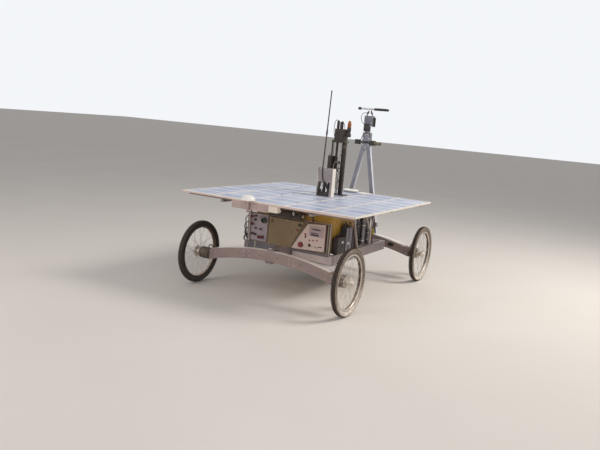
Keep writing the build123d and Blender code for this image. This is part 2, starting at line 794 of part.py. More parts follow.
def antenna_bracket():
    """A sheet bracket open at the bottom: two cheeks, a top and an upper front plate."""
    x0, x1 = BRACKET_X
    front = BRACKET_Y[0]
    skin = (front, front + SHEET_T)
    bracket = block((x0, x1), BRACKET_Y, (BRACKET_TOP - SHEET_T, BRACKET_TOP))
    for x in (x0, x1 - SHEET_T):
        bracket += block((x, x + SHEET_T), BRACKET_Y, (CELL_TOP, BRACKET_TOP))
    bracket += block((x0, x1), skin, (BRACKET_TOP - BRACKET_FACE_H, BRACKET_TOP))
    bracket += block((x1 - BRACKET_LEG_W, x1), skin, (CELL_TOP, BRACKET_TOP))
    x, y = whip_at(BRACKET_TOP)
    return bracket - rod((x, y, BRACKET_TOP - 20), (x, y, BRACKET_TOP + 20), WHIP_D / 2 + 2)


def cable_bundle():
    """Black cable glands standing under the bracket."""
    table = [
        # x, y, radius, height
        (-34, -24, 12, 143),
        (20, -10, 15, 131),
        (60, 5, 15, 161),
        (88, -12, 14, 121),
    ]
    return [rod((x, y, CELL_TOP), (x, y, CELL_TOP + height), radius)
            for x, y, radius, height in table]


def whip_antenna():
    """The tall whip aerial, with a thicker coil part-way up, passing through the bracket's top."""
    base = (WHIP_FOOT[0], WHIP_FOOT[1], CELL_TOP)
    low, high = [(*whip_at(z), z) for z in WHIP_COIL_Z]
    return rod(WHIP_FOOT, WHIP_TOP, WHIP_D / 2) + rod(base, WHIP_FOOT, 11) + rod(low, high, 8)


def dome_antenna():
    """A low white dome on a short stem at the panel's rear edge."""
    x, y = DOME_X, PANEL_REAR - 12
    base = PANEL_TOP + 8
    profile = [(base, DOME_R), (base + 18, DOME_R - 4), (base + 35, DOME_R - 18)]
    profile += [(base + 44, DOME_R - 40)]
    stem = rod((x, y, PANEL_BOTTOM - 90), (x, y, base + 2), 12)
    clamp = block((x - 14, x + 14), (y, PANEL_REAR), (PANEL_BOTTOM, PANEL_TOP))
    return upright(x, y, profile, DISC_SIDES) + stem + clamp


def disc_antenna():
    """A flat white disc on a low plinth near the panel's front edge, and a square lid beside it."""
    plinth, disc = DISC_D / 2 - 16, DISC_D / 2
    step = CELL_TOP + 16
    profile = [(CELL_TOP, plinth), (step, plinth), (step, disc), (step + 12, disc)]
    y = (PANEL_FRONT - LID_INSETS[0], PANEL_FRONT - LID_INSETS[1])
    return [upright(DISC_X, PANEL_FRONT - DISC_INSET, profile, DISC_SIDES),
            block(LID_X, y, (CELL_TOP, CELL_TOP + LID_T))]


# Mast

def mast_leg():
    """The right-hand leg of the mast, with its foot plate on the beam's front face."""
    half = MAST_LEG_W / 2
    foot = (MAST_FOOT_X + 12, MAST_Y, BEAM_BOTTOM + 17)
    apex = (half + 1.5, MAST_Y, MAST_APEX_Z)
    leg = strut(foot, apex, MAST_LEG_W, MAST_LEG_W)
    leg &= block((0, 2 * MAST_FOOT_X), (MAST_Y - MAST_LEG_W, MAST_Y + MAST_LEG_W), (0, MAST_APEX_Z))
    plate = block((MAST_FOOT_X - 34, MAST_FOOT_X + 44), (AXLE_Y + BEAM_W / 2, MAST_Y - half),
                  (BEAM_BOTTOM - 8, BEAM_TOP - 12))
    return leg + plate


def mast_junction():
    """The block that joins both legs and carries the pan bearing."""
    half = MAST_LEG_W / 2
    collar = MAST_HEAD_Z - 12
    body = block((-50, 50), (MAST_Y - half, MAST_Y + half), (MAST_APEX_Z, collar))
    return body + rod((0, MAST_Y, collar), (0, MAST_Y, MAST_HEAD_Z), PAN_DRUM_D / 2)


def navigation_cameras():
    """Two small cameras on a bar across the back of the junction."""
    back = MAST_Y - MAST_LEG_W / 2
    y, z = back - 12, MAST_APEX_Z + 15
    bar = rod((-90, y, z), (100, y, z), 9)
    left = block((-126, -72), (y - 22, y + 30), (z - 27, z + 27))
    right = block((58, 118), (y - 24, y + 30), (z - 30, z + 27))
    lens = rod((118, y, z - 3), (186, y, z - 3), 19)
    bracket = block((-30, 30), (y + 4, back), (MAST_APEX_Z + 5, MAST_APEX_Z + 30))
    return bar + left + right + lens + bracket


def pan_unit():
    """The turning head: a dark motor drum and the grey box above it, with ears for the bar."""
    base = MAST_HEAD_Z + SEAT_GAP
    drum = rod((-18, MAST_Y - 6, base), (-18, MAST_Y - 6, PAN_DRUM_TOP), PAN_DRUM_D / 2)
    neck = rod((0, MAST_Y, base), (0, MAST_Y, PAN_DRUM_TOP - 30), PAN_DRUM_D / 2 - 4)
    box = block((-55, 53), (MAST_Y - 10, MAST_Y + 50), (PAN_BOX_Z, PAN_BOX_TOP))
    side = block((53, 70), (MAST_Y - 2, MAST_Y + 40), (PAN_BOX_Z - 4, PAN_BOX_TOP - 17))
    head = drum + neck + box + side
    tilt_y = MAST_Y + TILT_FORWARD
    for x in (-40, 24):
        head += block((x, x + 8), (tilt_y - 12, tilt_y + 12), (PAN_BOX_TOP - 2, TILT_Z + 12))
        head -= bore((x - 1, tilt_y, TILT_Z), (x + 9, tilt_y, TILT_Z), TILT_PIN_D / 2)
    return head


def camera_bar():
    """The tilting bar with a camera at each end, on two cheeks and a pin through the ears."""
    y = MAST_Y + TILT_FORWARD
    profile = [(-152, 15), (-118, 15), (-118, 8), (50, 8), (50, 14), (222, 14)]
    piece = Pos(0, y, BAR_Z) * faceted(profile, ROD_SIDES)
    for x, end in ((-26, -40), (8, 32)):
        piece += block((x, x + 10), (y - 7, y + 7), (TILT_Z - 7, BAR_Z + 4))
        piece += shaft((x + 5, y, TILT_Z), (end, y, TILT_Z), TILT_PIN_D / 2)
    return piece


def parts():
    """Every node's name and its shape."""
    wheel = wire_wheel()
    tyre_solid = tyre()
    front = Pos(0, AXLE_Y, 0)
    rear = Pos(0, -AXLE_Y, 0)
    nodes = {}
    for end, at_end in (("front", front), ("rear", rear)):
        beam = arch_beam()
        unit = drive_unit()
        nodes[end + "_beam"] = at_end * beam
        nodes[end + "_drive_units"] = at_end * solids([unit, mirrored(unit)])
        for side, sign in (("right", 1), ("left", -1)):
            place = Pos(sign * AXLE_X, 0, WHEEL_R) * Rot(0, 0, 0 if sign > 0 else 180)
            nodes[end + "_" + side + "_tyre"] = at_end * place * tyre_solid
            nodes[end + "_" + side + "_wire_wheel"] = at_end * place * wheel
    arm = pivot_arm()
    rail = side_rail()
    leg = mast_leg()
    batteries = battery_boxes()
    nodes["kingpins"] = solids([front * kingpin(), rear * kingpin()])
    nodes["pivot_arms"] = solids([arm, mirror(arm, Plane.XZ)])
    nodes["side_rails"] = solids([rail, mirrored(rail)])
    nodes["cross_rails"] = solids(cross_rails())
    nodes["name_plate"] = name_plate()
    nodes["service_wall"] = service_wall()
    nodes["access_panel"] = access_panel()
    nodes["control_panel"] = control_panel()
    nodes["controls"] = solids(controls())
    nodes["connector_panel"] = solids(connector_panel())
    nodes["connectors"] = solids(connectors())
    nodes["body_shell"] = body_shell()
    nodes["batteries"] = solids(batteries + [mirrored(box) for box in batteries])
    nodes["bay_floor"] = bay_floor()
    nodes["instrument_boxes"] = solids(instrument_boxes())
    nodes["gas_bottles"] = solids(gas_bottles())
    nodes["solar_panel"] = solar_panel()
    nodes["solar_cells"] = solids(solar_cells())
    nodes["long_ribs"] = solids(long_ribs())
    nodes["cross_ribs"] = solids(cross_ribs())
    nodes["panel_posts"] = solids(corner_posts() + panel_posts())
    nodes["rear_bracket"] = rear_bracket()
    nodes["rear_skirt"] = rear_skirt()
    nodes["drill_base"] = drill_base()
    nodes["drill_rails"] = solids([drill_column()] + drill_rails())
    nodes["drill_head"] = drill_head()
    nodes["spindle_motor"] = spindle_motor()
    nodes["drill_carriage"] = drill_carriage()
    nodes["auger"] = auger()
    nodes["antenna_bracket"] = antenna_bracket()
    nodes["cable_bundle"] = solids(cable_bundle())
    nodes["whip_antenna"] = whip_antenna()
    nodes["dome_antenna"] = dome_antenna()
    nodes["disc_antenna"] = solids(disc_antenna())
    nodes["mast_legs"] = solids([leg, mirrored(leg)])
    nodes["mast_junction"] = mast_junction()
    nodes["navigation_cameras"] = navigation_cameras()
    nodes["pan_unit"] = pan_unit()
    nodes["camera_bar"] = camera_bar()
    return nodes


os.makedirs("parts", exist_ok=True)
for name, shape in parts().items():
    export_step(shape, "parts/" + name + ".step")
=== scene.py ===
"""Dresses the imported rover: finishes, spoked wheels, fittings, lamps and camera.

Pieces are drawn in millimetres. Materials, lamps and camera are set in metres.
"""
import json
from math import cos, pi, radians, sin, sqrt

import bmesh
import bpy
from mathutils import Matrix, Vector

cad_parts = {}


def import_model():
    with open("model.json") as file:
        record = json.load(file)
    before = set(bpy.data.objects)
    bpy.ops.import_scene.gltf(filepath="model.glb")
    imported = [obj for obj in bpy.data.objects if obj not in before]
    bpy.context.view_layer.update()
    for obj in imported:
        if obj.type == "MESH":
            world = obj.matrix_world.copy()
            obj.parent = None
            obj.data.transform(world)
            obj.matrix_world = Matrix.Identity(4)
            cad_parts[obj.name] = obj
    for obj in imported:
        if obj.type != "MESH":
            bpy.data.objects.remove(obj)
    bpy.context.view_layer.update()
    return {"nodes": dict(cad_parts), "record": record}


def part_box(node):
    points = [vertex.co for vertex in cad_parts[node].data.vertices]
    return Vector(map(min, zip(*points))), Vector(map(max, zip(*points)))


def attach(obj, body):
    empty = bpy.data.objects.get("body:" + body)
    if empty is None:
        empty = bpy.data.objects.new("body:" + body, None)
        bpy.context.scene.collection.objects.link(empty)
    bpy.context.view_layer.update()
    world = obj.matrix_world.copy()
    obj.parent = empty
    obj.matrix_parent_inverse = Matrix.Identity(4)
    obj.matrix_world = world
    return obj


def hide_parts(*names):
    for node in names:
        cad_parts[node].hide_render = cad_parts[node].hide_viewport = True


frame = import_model()

AXLE_X, AXLE_Y, WHEEL_R = 820, 960, 308.5
DRILL_Y = 270
ON_ARRAY = 918.6
RIGHT, AHEAD, REARWARD, UP = (1, 0, 0), (0, 1, 0), (0, -1, 0), (0, 0, 1)


# Colours and node trees

def tone(red, green, blue):
    """A linear colour from the values a picture shows, 0 to 255."""
    return tuple((v / 255 / 12.92) if v <= 10 else ((v / 255 + 0.055) / 1.055) ** 2.4
                 for v in (red, green, blue))


DUST = tone(196, 160, 132)


class Shade:
    """One material's node tree, with short calls for what every finish uses."""

    def __init__(self, name, rough=0.5, metal=0.0):
        self.material = bpy.data.materials.new(name)
        self.material.use_nodes = True
        self.tree = self.material.node_tree
        self.shader = self.tree.nodes["Principled BSDF"]
        self.shader.inputs["Metallic"].default_value = metal
        self.shader.inputs["Roughness"].default_value = rough
        self.place = self.add("TexCoord").outputs["Object"]
        self.normal = self.add("NewGeometry").outputs["Normal"]

    def add(self, kind, inputs=None, **settings):
        """A node with its settings, and a socket or a value in each of the inputs named."""
        node = self.tree.nodes.new("ShaderNode" + kind)
        for key, value in settings.items():
            setattr(node, key, value)
        for key, value in (inputs or {}).items():
            self.put(value, node.inputs[key])
        return node

    def put(self, value, socket):
        """Links a socket, or sets a plain value."""
        if isinstance(value, bpy.types.NodeSocket):
            self.tree.links.new(value, socket)
        elif isinstance(value, tuple) and socket.type == "RGBA":
            socket.default_value = (*value, 1)
        else:
            socket.default_value = value

    def math(self, operation, a, b=0.0):
        return self.add("Math", {0: a, 1: b}, operation=operation).outputs[0]

    def times(self, first, *others):
        for other in others:
            first = self.math("MULTIPLY", first, other)
        return first

    def axis(self, letter, source=None):
        return self.add("SeparateXYZ", {0: source or self.place}).outputs["XYZ".index(letter)]

    def off_middle(self, value, pitch):
        """How far a value lies from the middle of its step, in steps."""
        share = self.math("FRACT", self.math("DIVIDE", value, pitch))
        return self.math("ABSOLUTE", self.math("SUBTRACT", share, 0.5))

    def from_hub(self):
        """Outward from the nearest wheel's middle, above its axle, and the radius round it."""
        outward = self.math("SUBTRACT", self.math("ABSOLUTE", self.axis("X")), AXLE_X / 1000)
        y = self.math("SUBTRACT", self.math("ABSOLUTE", self.axis("Y")), AXLE_Y / 1000)
        z = self.math("SUBTRACT", self.axis("Z"), WHEEL_R / 1000)
        square = self.math("ADD", self.times(y, y), self.times(z, z))
        return outward, z, self.math("SQRT", square)

    def noise(self, scale, detail=4.0, stretch=None):
        place = self.place
        if stretch:
            place = self.add("Mapping", {"Vector": place, "Scale": stretch}).outputs[0]
        inputs = {"Vector": place, "Scale": scale, "Detail": detail, "Roughness": 0.55}
        return self.add("TexNoise", inputs).outputs["Fac"]

    def span(self, value, low, high, to_low=0.0, to_high=1.0):
        numbers = (value, low, high, to_low, to_high)
        return self.add("MapRange", dict(enumerate(numbers))).outputs[0]

    def cloud(self, scale):
        return self.span(self.noise(scale, 6.0), 0.3, 0.7)

    def mix(self, share, first, second):
        return self.add("Mix", {0: share, 6: first, 7: second}, data_type="RGBA").outputs[2]

    def bump(self, height, strength, distance):
        inputs = {"Strength": strength, "Distance": distance, "Height": height}
        return self.add("Bump", inputs).outputs[0]

    def edges(self):
        """Near 1 along convex and concave edges."""
        bevel = self.add("Bevel", {"Radius": 0.004}, samples=4).outputs[0]
        dot = self.add("VectorMath", {0: bevel, 1: self.normal}, operation="DOT_PRODUCT")
        return self.span(dot.outputs["Value"], 0.995, 0.86)

    def dusty(self, colour, amount):
        """Dust that settles on faces that look up, in patches."""
        up = self.span(self.axis("Z", self.normal), 0.1, 0.95, 0.22, 1.0)
        patch = self.span(self.noise(9.0, 6.0), 0.36, 0.68)
        return self.mix(self.times(up, patch, amount), colour, DUST)

    def done(self, colour, roughness, normal):
        for key, value in (("Base Color", colour), ("Roughness", roughness), ("Normal", normal)):
            self.put(value, self.shader.inputs[key])
        return self.material


def cells_finish():
    """Laminated cells: each its own tint, broad pale bands between rows, thin busbars, dust."""
    s = Shade("cells", 0.4)
    x, y = s.axis("X"), s.axis("Y")
    inner_edge, cell_width, cell_length, bar_pitch = 0.213, 0.118, 0.2275, 0.0392
    across = s.math("SUBTRACT", s.math("ABSOLUTE", x), inner_edge)
    column = s.math("FLOOR", s.math("DIVIDE", across, cell_width))
    column = s.math("ADD", column, s.times(s.math("SIGN", x), 10.0))
    row = s.math("FLOOR", s.math("DIVIDE", y, cell_length))
    cell = s.add("CombineXYZ", {0: column, 1: row}).outputs[0]
    tint = s.add("TexWhiteNoise", {"Vector": cell}, noise_dimensions="2D").outputs["Value"]
    streak = s.span(s.noise(1.0, 5.0, (1.6, 17.0, 1.0)), 0.36, 0.66)
    mixed = s.math("ADD", s.times(tint, 0.45), s.times(streak, 0.62))
    blue = s.mix(s.span(mixed, 0.1, 0.95), tone(134, 147, 180), tone(192, 197, 211))
    gap = s.span(s.off_middle(y, cell_length), 0.395, 0.420)
    bar = s.span(s.off_middle(x, bar_pitch), 0.035, 0.02)
    base = s.mix(s.times(gap, 0.80), blue, tone(224, 221, 224))
    base = s.mix(s.times(bar, 0.30), base, tone(216, 216, 224))
    base = s.mix(s.span(s.noise(5.0, 7.0), 0.5, 0.8, 0.0, 0.42), base, tone(212, 202, 196))
    shine = s.span(s.noise(11.0, 5.0), 0.3, 0.7, 0.38, 0.6)
    height = s.math("ADD", gap, s.times(s.noise(120.0), 0.3))
    s.shader.inputs["Coat Weight"].default_value = 0.12
    s.shader.inputs["Coat Roughness"].default_value = 0.3
    return s.done(base, shine, s.bump(height, 0.12, 0.0008))


def tyre_finish():
    """Dark brown rubber, dusty grooves, an outer wall pale with dust and painted sunlight, most low
    down.
    """
    s = Shade("tyre rubber", 0.86)
    outward, above, radius = s.from_hub()
    cloud = s.cloud(30.0)
    rubber = s.mix(cloud, tone(16, 14, 13), tone(38, 32, 29))
    # Only the outer side's wall and shoulder turn pale: painted sunlight there, the inner side left
    # dark as painted shade.
    outer = s.span(outward, -0.008, 0.012, 0.06, 1.0)
    patch = s.span(s.noise(26.0, 7.0), 0.25, 0.62, 0.45, 1.0)
    wall = s.times(s.span(radius, 0.3005, 0.291), s.span(radius, 0.253, 0.262), outer, patch)
    # Painted light: the outer wall is lighter towards the bottom.
    low = s.span(above, -0.04, -0.25)
    wall_dust_and_painted_light = s.mix(low, tone(150, 132, 118), tone(240, 226, 212))
    base = s.mix(s.times(wall, s.span(low, 0, 1, 0.78, 0.96)), rubber, wall_dust_and_painted_light)
    shoulder = s.times(s.span(radius, 0.2935, 0.2965), s.span(radius, 0.3025, 0.2995))
    base = s.mix(s.times(shoulder, outer, patch, 0.55), base, tone(206, 190, 174))
    groove = s.times(s.span(radius, 0.3066, 0.3046), s.span(radius, 0.300, 0.303))
    base = s.mix(s.times(groove, s.span(s.noise(60.0), 0.3, 0.7, 0.02, 0.2)), base, DUST)
    height = s.math("ADD", s.noise(320.0, 3.0), s.times(s.noise(40.0), 1.5))
    return s.done(base, s.span(cloud, 0, 1, 0.78, 0.95), s.bump(height, 0.35, 0.0008))


def wheel_finish():
    """Bright worn metal on the outer side of a wheel; on its inner side brown painted shade, and dust.
    """
    s = Shade("wheel metal", 0.36, 0.5)
    outward, _, radius = s.from_hub()
    cloud = s.cloud(20.0)
    bright = s.mix(cloud, tone(178, 168, 156), tone(224, 216, 206))
    brown = s.mix(cloud, tone(68, 52, 43), tone(104, 84, 71))
    # The inner side's brown is painted shade, weaker on faces that look up, as painted sunlight.
    inner = s.times(s.span(outward, 0.0135, 0.0085), s.span(radius, 0.225, 0.236),
                    s.span(s.axis("Z", s.normal), 0.15, 0.8, 1.0, 0.2))
    base = s.dusty(s.mix(inner, bright, brown), 0.35)
    return s.done(base, s.span(cloud, 0, 1, 0.3, 0.5), s.bump(s.noise(260.0), 0.15, 0.0005))


SHADES = {"tyre_rubber": tyre_finish(), "wheel_metal": wheel_finish(), "cell_blue": cells_finish()}


def finish(name, colour, rough=0.5, metal=0.0, vary=0.12, blotch=7, grain=260, relief=0.18,
           dust=0.3, wear=0.0, worn=(206.4, 203.4, 200.4), lines=None, speck=0.0):
    """Adds a painted, moulded or bare finish: blotches, grain, specks, worn edges and dust."""
    s = Shade(name, rough, metal)
    colour = tone(*colour)
    dark = tuple(c * (1 - vary) for c in colour)
    light = tuple(min(1, c * (1 + vary) + 0.01) for c in colour)
    base = s.mix(s.cloud(blotch), dark, light)
    height = s.noise(1.0, 4.0, lines) if lines else s.noise(grain, 3.0)
    if lines:
        base = s.mix(s.span(height, 0.35, 0.75, 0.0, 0.35), base, light)
    if speck:
        spots = s.span(s.noise(70.0, 2.0), 0.62, 0.72, 0.0, speck)
        base = s.mix(spots, base, tuple(c * 0.45 for c in colour))
    if wear:
        scuffs = s.span(s.noise(35.0, 5.0), 0.35, 0.6, 0.2, wear)
        base = s.mix(s.times(s.edges(), scuffs), base, tone(*worn))
    shine = s.span(s.noise(24.0, 5.0), 0.3, 0.7, max(0.05, rough - 0.12), min(1, rough + 0.14))
    made = s.done(s.dusty(base, dust), shine, s.bump(height, relief, 0.0006))
    SHADES[name.replace(" ", "_")] = made


finish("beam metal", (143, 125, 123), 0.48, 0.25, dust=0.6, wear=0.85, worn=(226, 216, 212),
       lines=(9, 160, 160), speck=0.25)
finish("drive metal", (96, 82, 74), 0.52, 0.3, dust=0.4, wear=0.6, worn=(150, 140, 132))
finish("pin steel", (190, 186, 182), 0.3, 0.85, dust=0.35)
finish("frame metal", (138, 127, 128), 0.46, 0.3, dust=0.5, wear=0.8, worn=(215, 212, 214),
       lines=(160, 9, 160), speck=0.2)
# Painted shade: a darker, bluer frame colour for rails that lie in shade.
finish("rail shade", (108, 104, 110), 0.5, 0.25, wear=0.6, worn=(190, 186, 188),
       lines=(160, 9, 160), speck=0.25)
finish("blank plate", (196, 180, 177), 0.55, wear=0.5, worn=(160, 148, 144), speck=0.2)
finish("wall metal", (104, 90, 68), 0.6, 0.1, dust=0.4, wear=0.7, worn=(170, 160, 156))
finish("olive sheet", (140, 118, 88), 0.58, vary=0.14, blotch=4, wear=0.6, worn=(112, 84, 60),
       speck=0.3)
finish("cream sheet", (220, 198, 188), 0.48, vary=0.05, dust=0.22, wear=0.6,
       worn=(150, 120, 112), speck=0.12)
finish("socket plate", (170, 156, 164), vary=0.22, blotch=16, wear=0.6, worn=(110, 92, 90),
       speck=0.4)
# A painted highlight: the pale colour of a sunlit beam top.
finish("beam top", (242, 236, 230), 0.42, 0.2, vary=0.08, dust=0.2, speck=0.1)
finish("seam red", (92, 44, 42), 0.6, vary=0.2, dust=0.1)
finish("rust brown", (112, 58, 50), 0.6, vary=0.2, dust=0.2)
finish("latch pale", (186, 160, 124), dust=0.2)
finish("olive seam", (112, 98, 66), 0.6, dust=0.2)
finish("display", (184, 160, 164), 0.3, vary=0.1, blotch=30, dust=0.15)
finish("dark display", (62, 54, 60), 0.3, vary=0.2, blotch=40, dust=0.1)
finish("signal red", (146, 48, 54), vary=0.15, dust=0.15)
finish("socket dark", (52, 44, 44), 0.55, vary=0.3, dust=0.22, wear=0.5, worn=(120, 104, 98))
finish("socket red", (108, 42, 50), dust=0.25)
finish("socket green", (40, 54, 36), dust=0.15)
# Darker than the posts' pale paint, as painted shade under the array.
finish("post white", (182, 170, 164), 0.45, 0.1, vary=0.05, wear=0.5, worn=(150, 140, 132),
       speck=0.2)
finish("mustard shell", (166, 125, 20), vary=0.24, blotch=3.2, grain=120, dust=0.35, wear=0.3,
       worn=(228, 196, 120))
# Very dark, partly as painted shade on the batteries.
finish("battery case", (48, 43, 47), 0.55, vary=0.2, dust=0.4, wear=0.5, worn=(160, 150, 150))
finish("battery pale", (166, 160, 176), vary=0.1)
# Dark blue-grey: painted shade with a painted sky reflection on the deck's top.
finish("deck metal", (106, 112, 122), metal=0.35, dust=0.45)
finish("instrument dark", (50, 45, 45), 0.55, 0.1, dust=0.45, wear=0.8, worn=(140, 130, 126))
finish("bottle silver", (122, 119, 124), 0.34, 0.6, dust=0.25)
finish("tray white", (236, 226, 214), vary=0.06, wear=0.3, worn=(200, 190, 180), speck=0.15)
finish("skirt grey", (178, 156, 152), 0.55, wear=0.4, speck=0.2)
finish("cream bracket", (234, 222, 208), vary=0.06, dust=0.25, wear=0.5, worn=(160, 140, 120))
finish("drill dark", (42, 33, 29), 0.42, 0.35, vary=0.3, blotch=18, dust=0.16, wear=0.7,
       worn=(112, 92, 76))
finish("motor copper", (154, 84, 38), 0.38, 0.5, vary=0.2, blotch=22, dust=0.15, wear=0.6,
       worn=(236, 190, 140))
finish("auger steel", (150, 142, 136), 0.34, 0.8, vary=0.2, blotch=40)
# Darker than the sheet's pale paint: painted shade on the bracket's rear face.
finish("bracket white", (150, 139, 139), 0.5, 0.1, vary=0.2, dust=0.2, wear=0.5,
       worn=(120, 108, 106), lines=(60, 60, 5), speck=0.2)
finish("cable black", (34, 32, 32), 0.6, vary=0.25, blotch=40, dust=0.2)
finish("hose grey", (138, 128, 124), blotch=30, dust=0.2)
finish("band green", (88, 88, 50), vary=0.15, blotch=30, dust=0.2)
finish("whip dark", (50, 33, 32), 0.4, vary=0.2, blotch=20, dust=0.2)
finish("whip blue", (28, 38, 56), 0.4, vary=0.2, blotch=20, dust=0.15)
finish("dome white", (246, 242, 236), 0.35, vary=0.03, dust=0.12, speck=0.08)
finish("mast metal", (129, 130, 140), 0.42, 0.4, wear=0.8, worn=(224, 228, 236),
       lines=(160, 160, 9), speck=0.15)
# A painted highlight: the pale colour of sunlit mast metal.
finish("mast pale", (206, 207, 216), 0.4, 0.25, vary=0.1, dust=0.25, lines=(160, 160, 9),
       speck=0.1)
finish("camera dark", (36, 33, 34), vary=0.3, dust=0.14, wear=0.5, worn=(100, 94, 92))
finish("head grey", (116, 119, 130), 0.5, 0.2, wear=0.8, worn=(196, 200, 208))
finish("lens glass", (30, 32, 40), 0.08, vary=0.2, dust=0.05, relief=0.02)
finish("lens olive", (128, 118, 88), 0.4, 0.2, vary=0.2, dust=0.2)
finish("label white", (240, 238, 236), vary=0.04, dust=0.15)
finish("valve yellow", (178, 164, 52), 0.45, vary=0.15, blotch=40, dust=0.15)
finish("bolt steel", (200, 192, 186), 0.32, 0.8, dust=0.25, blotch=60)
finish("dark hole", (26, 22, 22), 0.7, vary=0.2, dust=0.1)


# Pieces in mesh code

BOX_FACES = [(0, 2, 3, 1), (4, 5, 7, 6), (0, 1, 5, 4), (2, 6, 7, 3), (0, 4, 6, 2), (1, 3, 7, 5)]
CORNERS = ((-1, -1), (1, -1), (1, 1), (-1, 1))


def axes(direction):
    """Two vectors square to a direction, and the direction at length 1."""
    w = Vector(direction).normalized()
    side = Vector(UP) if abs(w.z) < 0.9 else Vector(RIGHT)
    u = side.cross(w).normalized()
    return u, w.cross(u), w


def ring(at, u, v, radius, sides):
    """Points round a place, in the plane of u and v."""
    angles = [2 * pi * i / sides for i in range(sides)]
    return [at + (u * cos(a) + v * sin(a)) * radius for a in angles]


def around(centre, x, radius, angle):
    """A place on a circle in a wheel's plane, and x to its right."""
    return Vector((centre[0] + x, centre[1] + radius * cos(angle), centre[2] + radius * sin(angle)))


class Piece:
    """Solids of one finish, gathered into one mesh that rides on a body.

    Lengths are in millimetres. With both, all that is drawn is also drawn on the other side.
    """

    def __init__(self, name, slot, shade=None, body="chassis", both=False):
        self.name, self.body, self.slot = name, body, slot
        self.shade = shade or slot
        self.signs = (-1, 1) if both else (1,)
        self.mesh = bmesh.new()

    def faces(self, places, faces):
        for sign in self.signs:
            points = [self.mesh.verts.new((sign * x / 1000, y / 1000, z / 1000))
                      for x, y, z in places]
            for face in faces:
                self.mesh.faces.new([points[i] for i in face])

    def grid(self, rings, looped=False):
        """Skins rings of points. When looped, the last joins the first, or else both are capped."""
        count = len(rings[0])
        starts = [count * k for k in range(len(rings))]
        faces = []
        for a, b in zip(starts, starts[1:] + starts[:1] if looped else starts[1:]):
            faces += [(a + i, a + (i + 1) % count, b + (i + 1) % count, b + i)
                      for i in range(count)]
        if not looped:
            faces += [range(count)[::-1], range(starts[-1], starts[-1] + count)]
        self.faces([place for places in rings for place in places], faces)

    def boxes(self, *rows):
        """Boxes, each from x to x, y to y and z to z."""
        for x0, x1, y0, y1, z0, z1 in rows:
            places = [(x, y, z) for z in (z0, z1) for y in (y0, y1) for x in (x0, x1)]
            self.faces(places, BOX_FACES)

    def plates(self, y0, y1, *rows):
        """Boxes between two y, each from x to x and z to z."""
        self.boxes(*[(x0, x1, y0, y1, z0, z1) for x0, x1, z0, z1 in rows])

    def bar(self, a, b, width, depth, facing=AHEAD):
        """A flat bar from a to b; depth is along facing."""
        a, b = Vector(a), Vector(b)
        w = (b - a).normalized()
        v = Vector(facing)
        v = (v - w * v.dot(w)).normalized()
        u = v.cross(w)
        self.grid([[end + u * width / 2 * i + v * depth / 2 * j for i, j in CORNERS]
                   for end in (a, b)])

    def rod(self, a, b, radius, end_radius=None, sides=20):
        a, b = Vector(a), Vector(b)
        u, v, _ = axes(b - a)
        self.grid([ring(a, u, v, radius, sides), ring(b, u, v, end_radius or radius, sides)])

    def turn(self, origin, direction, profile, sides=40, looped=False):
        """A turned piece: profile is (distance along the direction, radius) points.

        A point on the axis becomes a ring too small to see, so that each ring has its sides.
        """
        least = 0.01
        u, v, w = axes(direction)
        origin = Vector(origin)
        self.grid([ring(origin + w * along, u, v, max(radius, least), sides)
                   for along, radius in profile], looped)

    def solid(self, origin, direction, profile, sides=40):
        """A turned piece whose profile is led to the axis at both ends."""
        self.turn(origin, direction, [(profile[0][0], 0), *profile, (profile[-1][0], 0)], sides)

    def band(self, origin, direction, inner, outer, length, sides):
        """A ring of a rectangular section."""
        profile = [(0, inner), (0, outer), (length, outer), (length, inner)]
        self.turn(origin, direction, profile, sides, looped=True)

    def tube(self, radius, *points, sides=10):
        """A round run through points, on a smooth line."""
        steps = 6
        points = [Vector(p) for p in points]
        path = []
        padded = [points[0] * 2 - points[1], *points, points[-1] * 2 - points[-2]]
        for p0, p1, p2, p3 in zip(padded, padded[1:], padded[2:], padded[3:]):
            for k in range(steps):
                t = k / steps
                path.append(0.5 * ((2 * p1) + (p2 - p0) * t + (2 * p0 - 5 * p1 + 4 * p2 - p3) * t * t
                                   + (3 * p1 - p0 - 3 * p2 + p3) * t ** 3))
        path.append(points[-1])
        u, _, w = axes(path[1] - path[0])
        rings = []
        for index, at in enumerate(path):
            ahead = path[min(index + 1, len(path) - 1)] - path[max(index - 1, 0)]
            turn = w.rotation_difference(ahead.normalized())
            u, w = turn @ u, ahead.normalized()
            rings.append(ring(at, u, w.cross(u), radius, sides))
        self.grid(rings)

    def bolts(self, direction, radius, places, height=4):
        """Hexagon heads on washers."""
        w = Vector(direction).normalized()
        for place in places:
            at = Vector(place)
            self.solid(at - w * 0.5, w, [(0, radius * 1.5), (1.6, radius * 1.5)], 20)
            top = height + radius * 0.16
            self.turn(at, w, [(1, radius), (height, radius), (top, radius * 0.8), (top, 0)], 6)

    def screws(self, y, radius, *places):
        """Low screws at (x, z) in a face that looks to the rear."""
        self.bolts(REARWARD, radius, [(x, y, z) for x, z in places], 2)

    def made(self, bevel=0):
        mesh = bpy.data.meshes.new(self.name)
        bmesh.ops.recalc_face_normals(self.mesh, faces=self.mesh.faces)
        self.mesh.to_mesh(mesh)
        self.mesh.free()
        mesh.polygons.foreach_set("use_smooth", [True] * len(mesh.polygons))
        mesh.set_sharp_from_angle(angle=radians(38))
        piece = bpy.data.objects.new(self.name, mesh)
        bpy.context.scene.collection.objects.link(piece)
        piece.data.materials.append(SHADES[self.shade])
        if bevel:
            soften(piece, bevel)
        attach(piece, self.body)
        return piece


def boxed(name, slot, shade, bevel, *rows):
    """A piece on the chassis that is boxes only."""
    piece = Piece(name, slot, shade)
    piece.boxes(*rows)
    return piece.made(bevel)


def soften(piece, width, segments=2):
    edge = piece.modifiers.new("edges", "BEVEL")
    edge.width, edge.segments = width / 1000, segments
    edge.limit_method, edge.angle_limit = "ANGLE", radians(35)
    edge.harden_normals = True
    edge.use_clamp_overlap = True


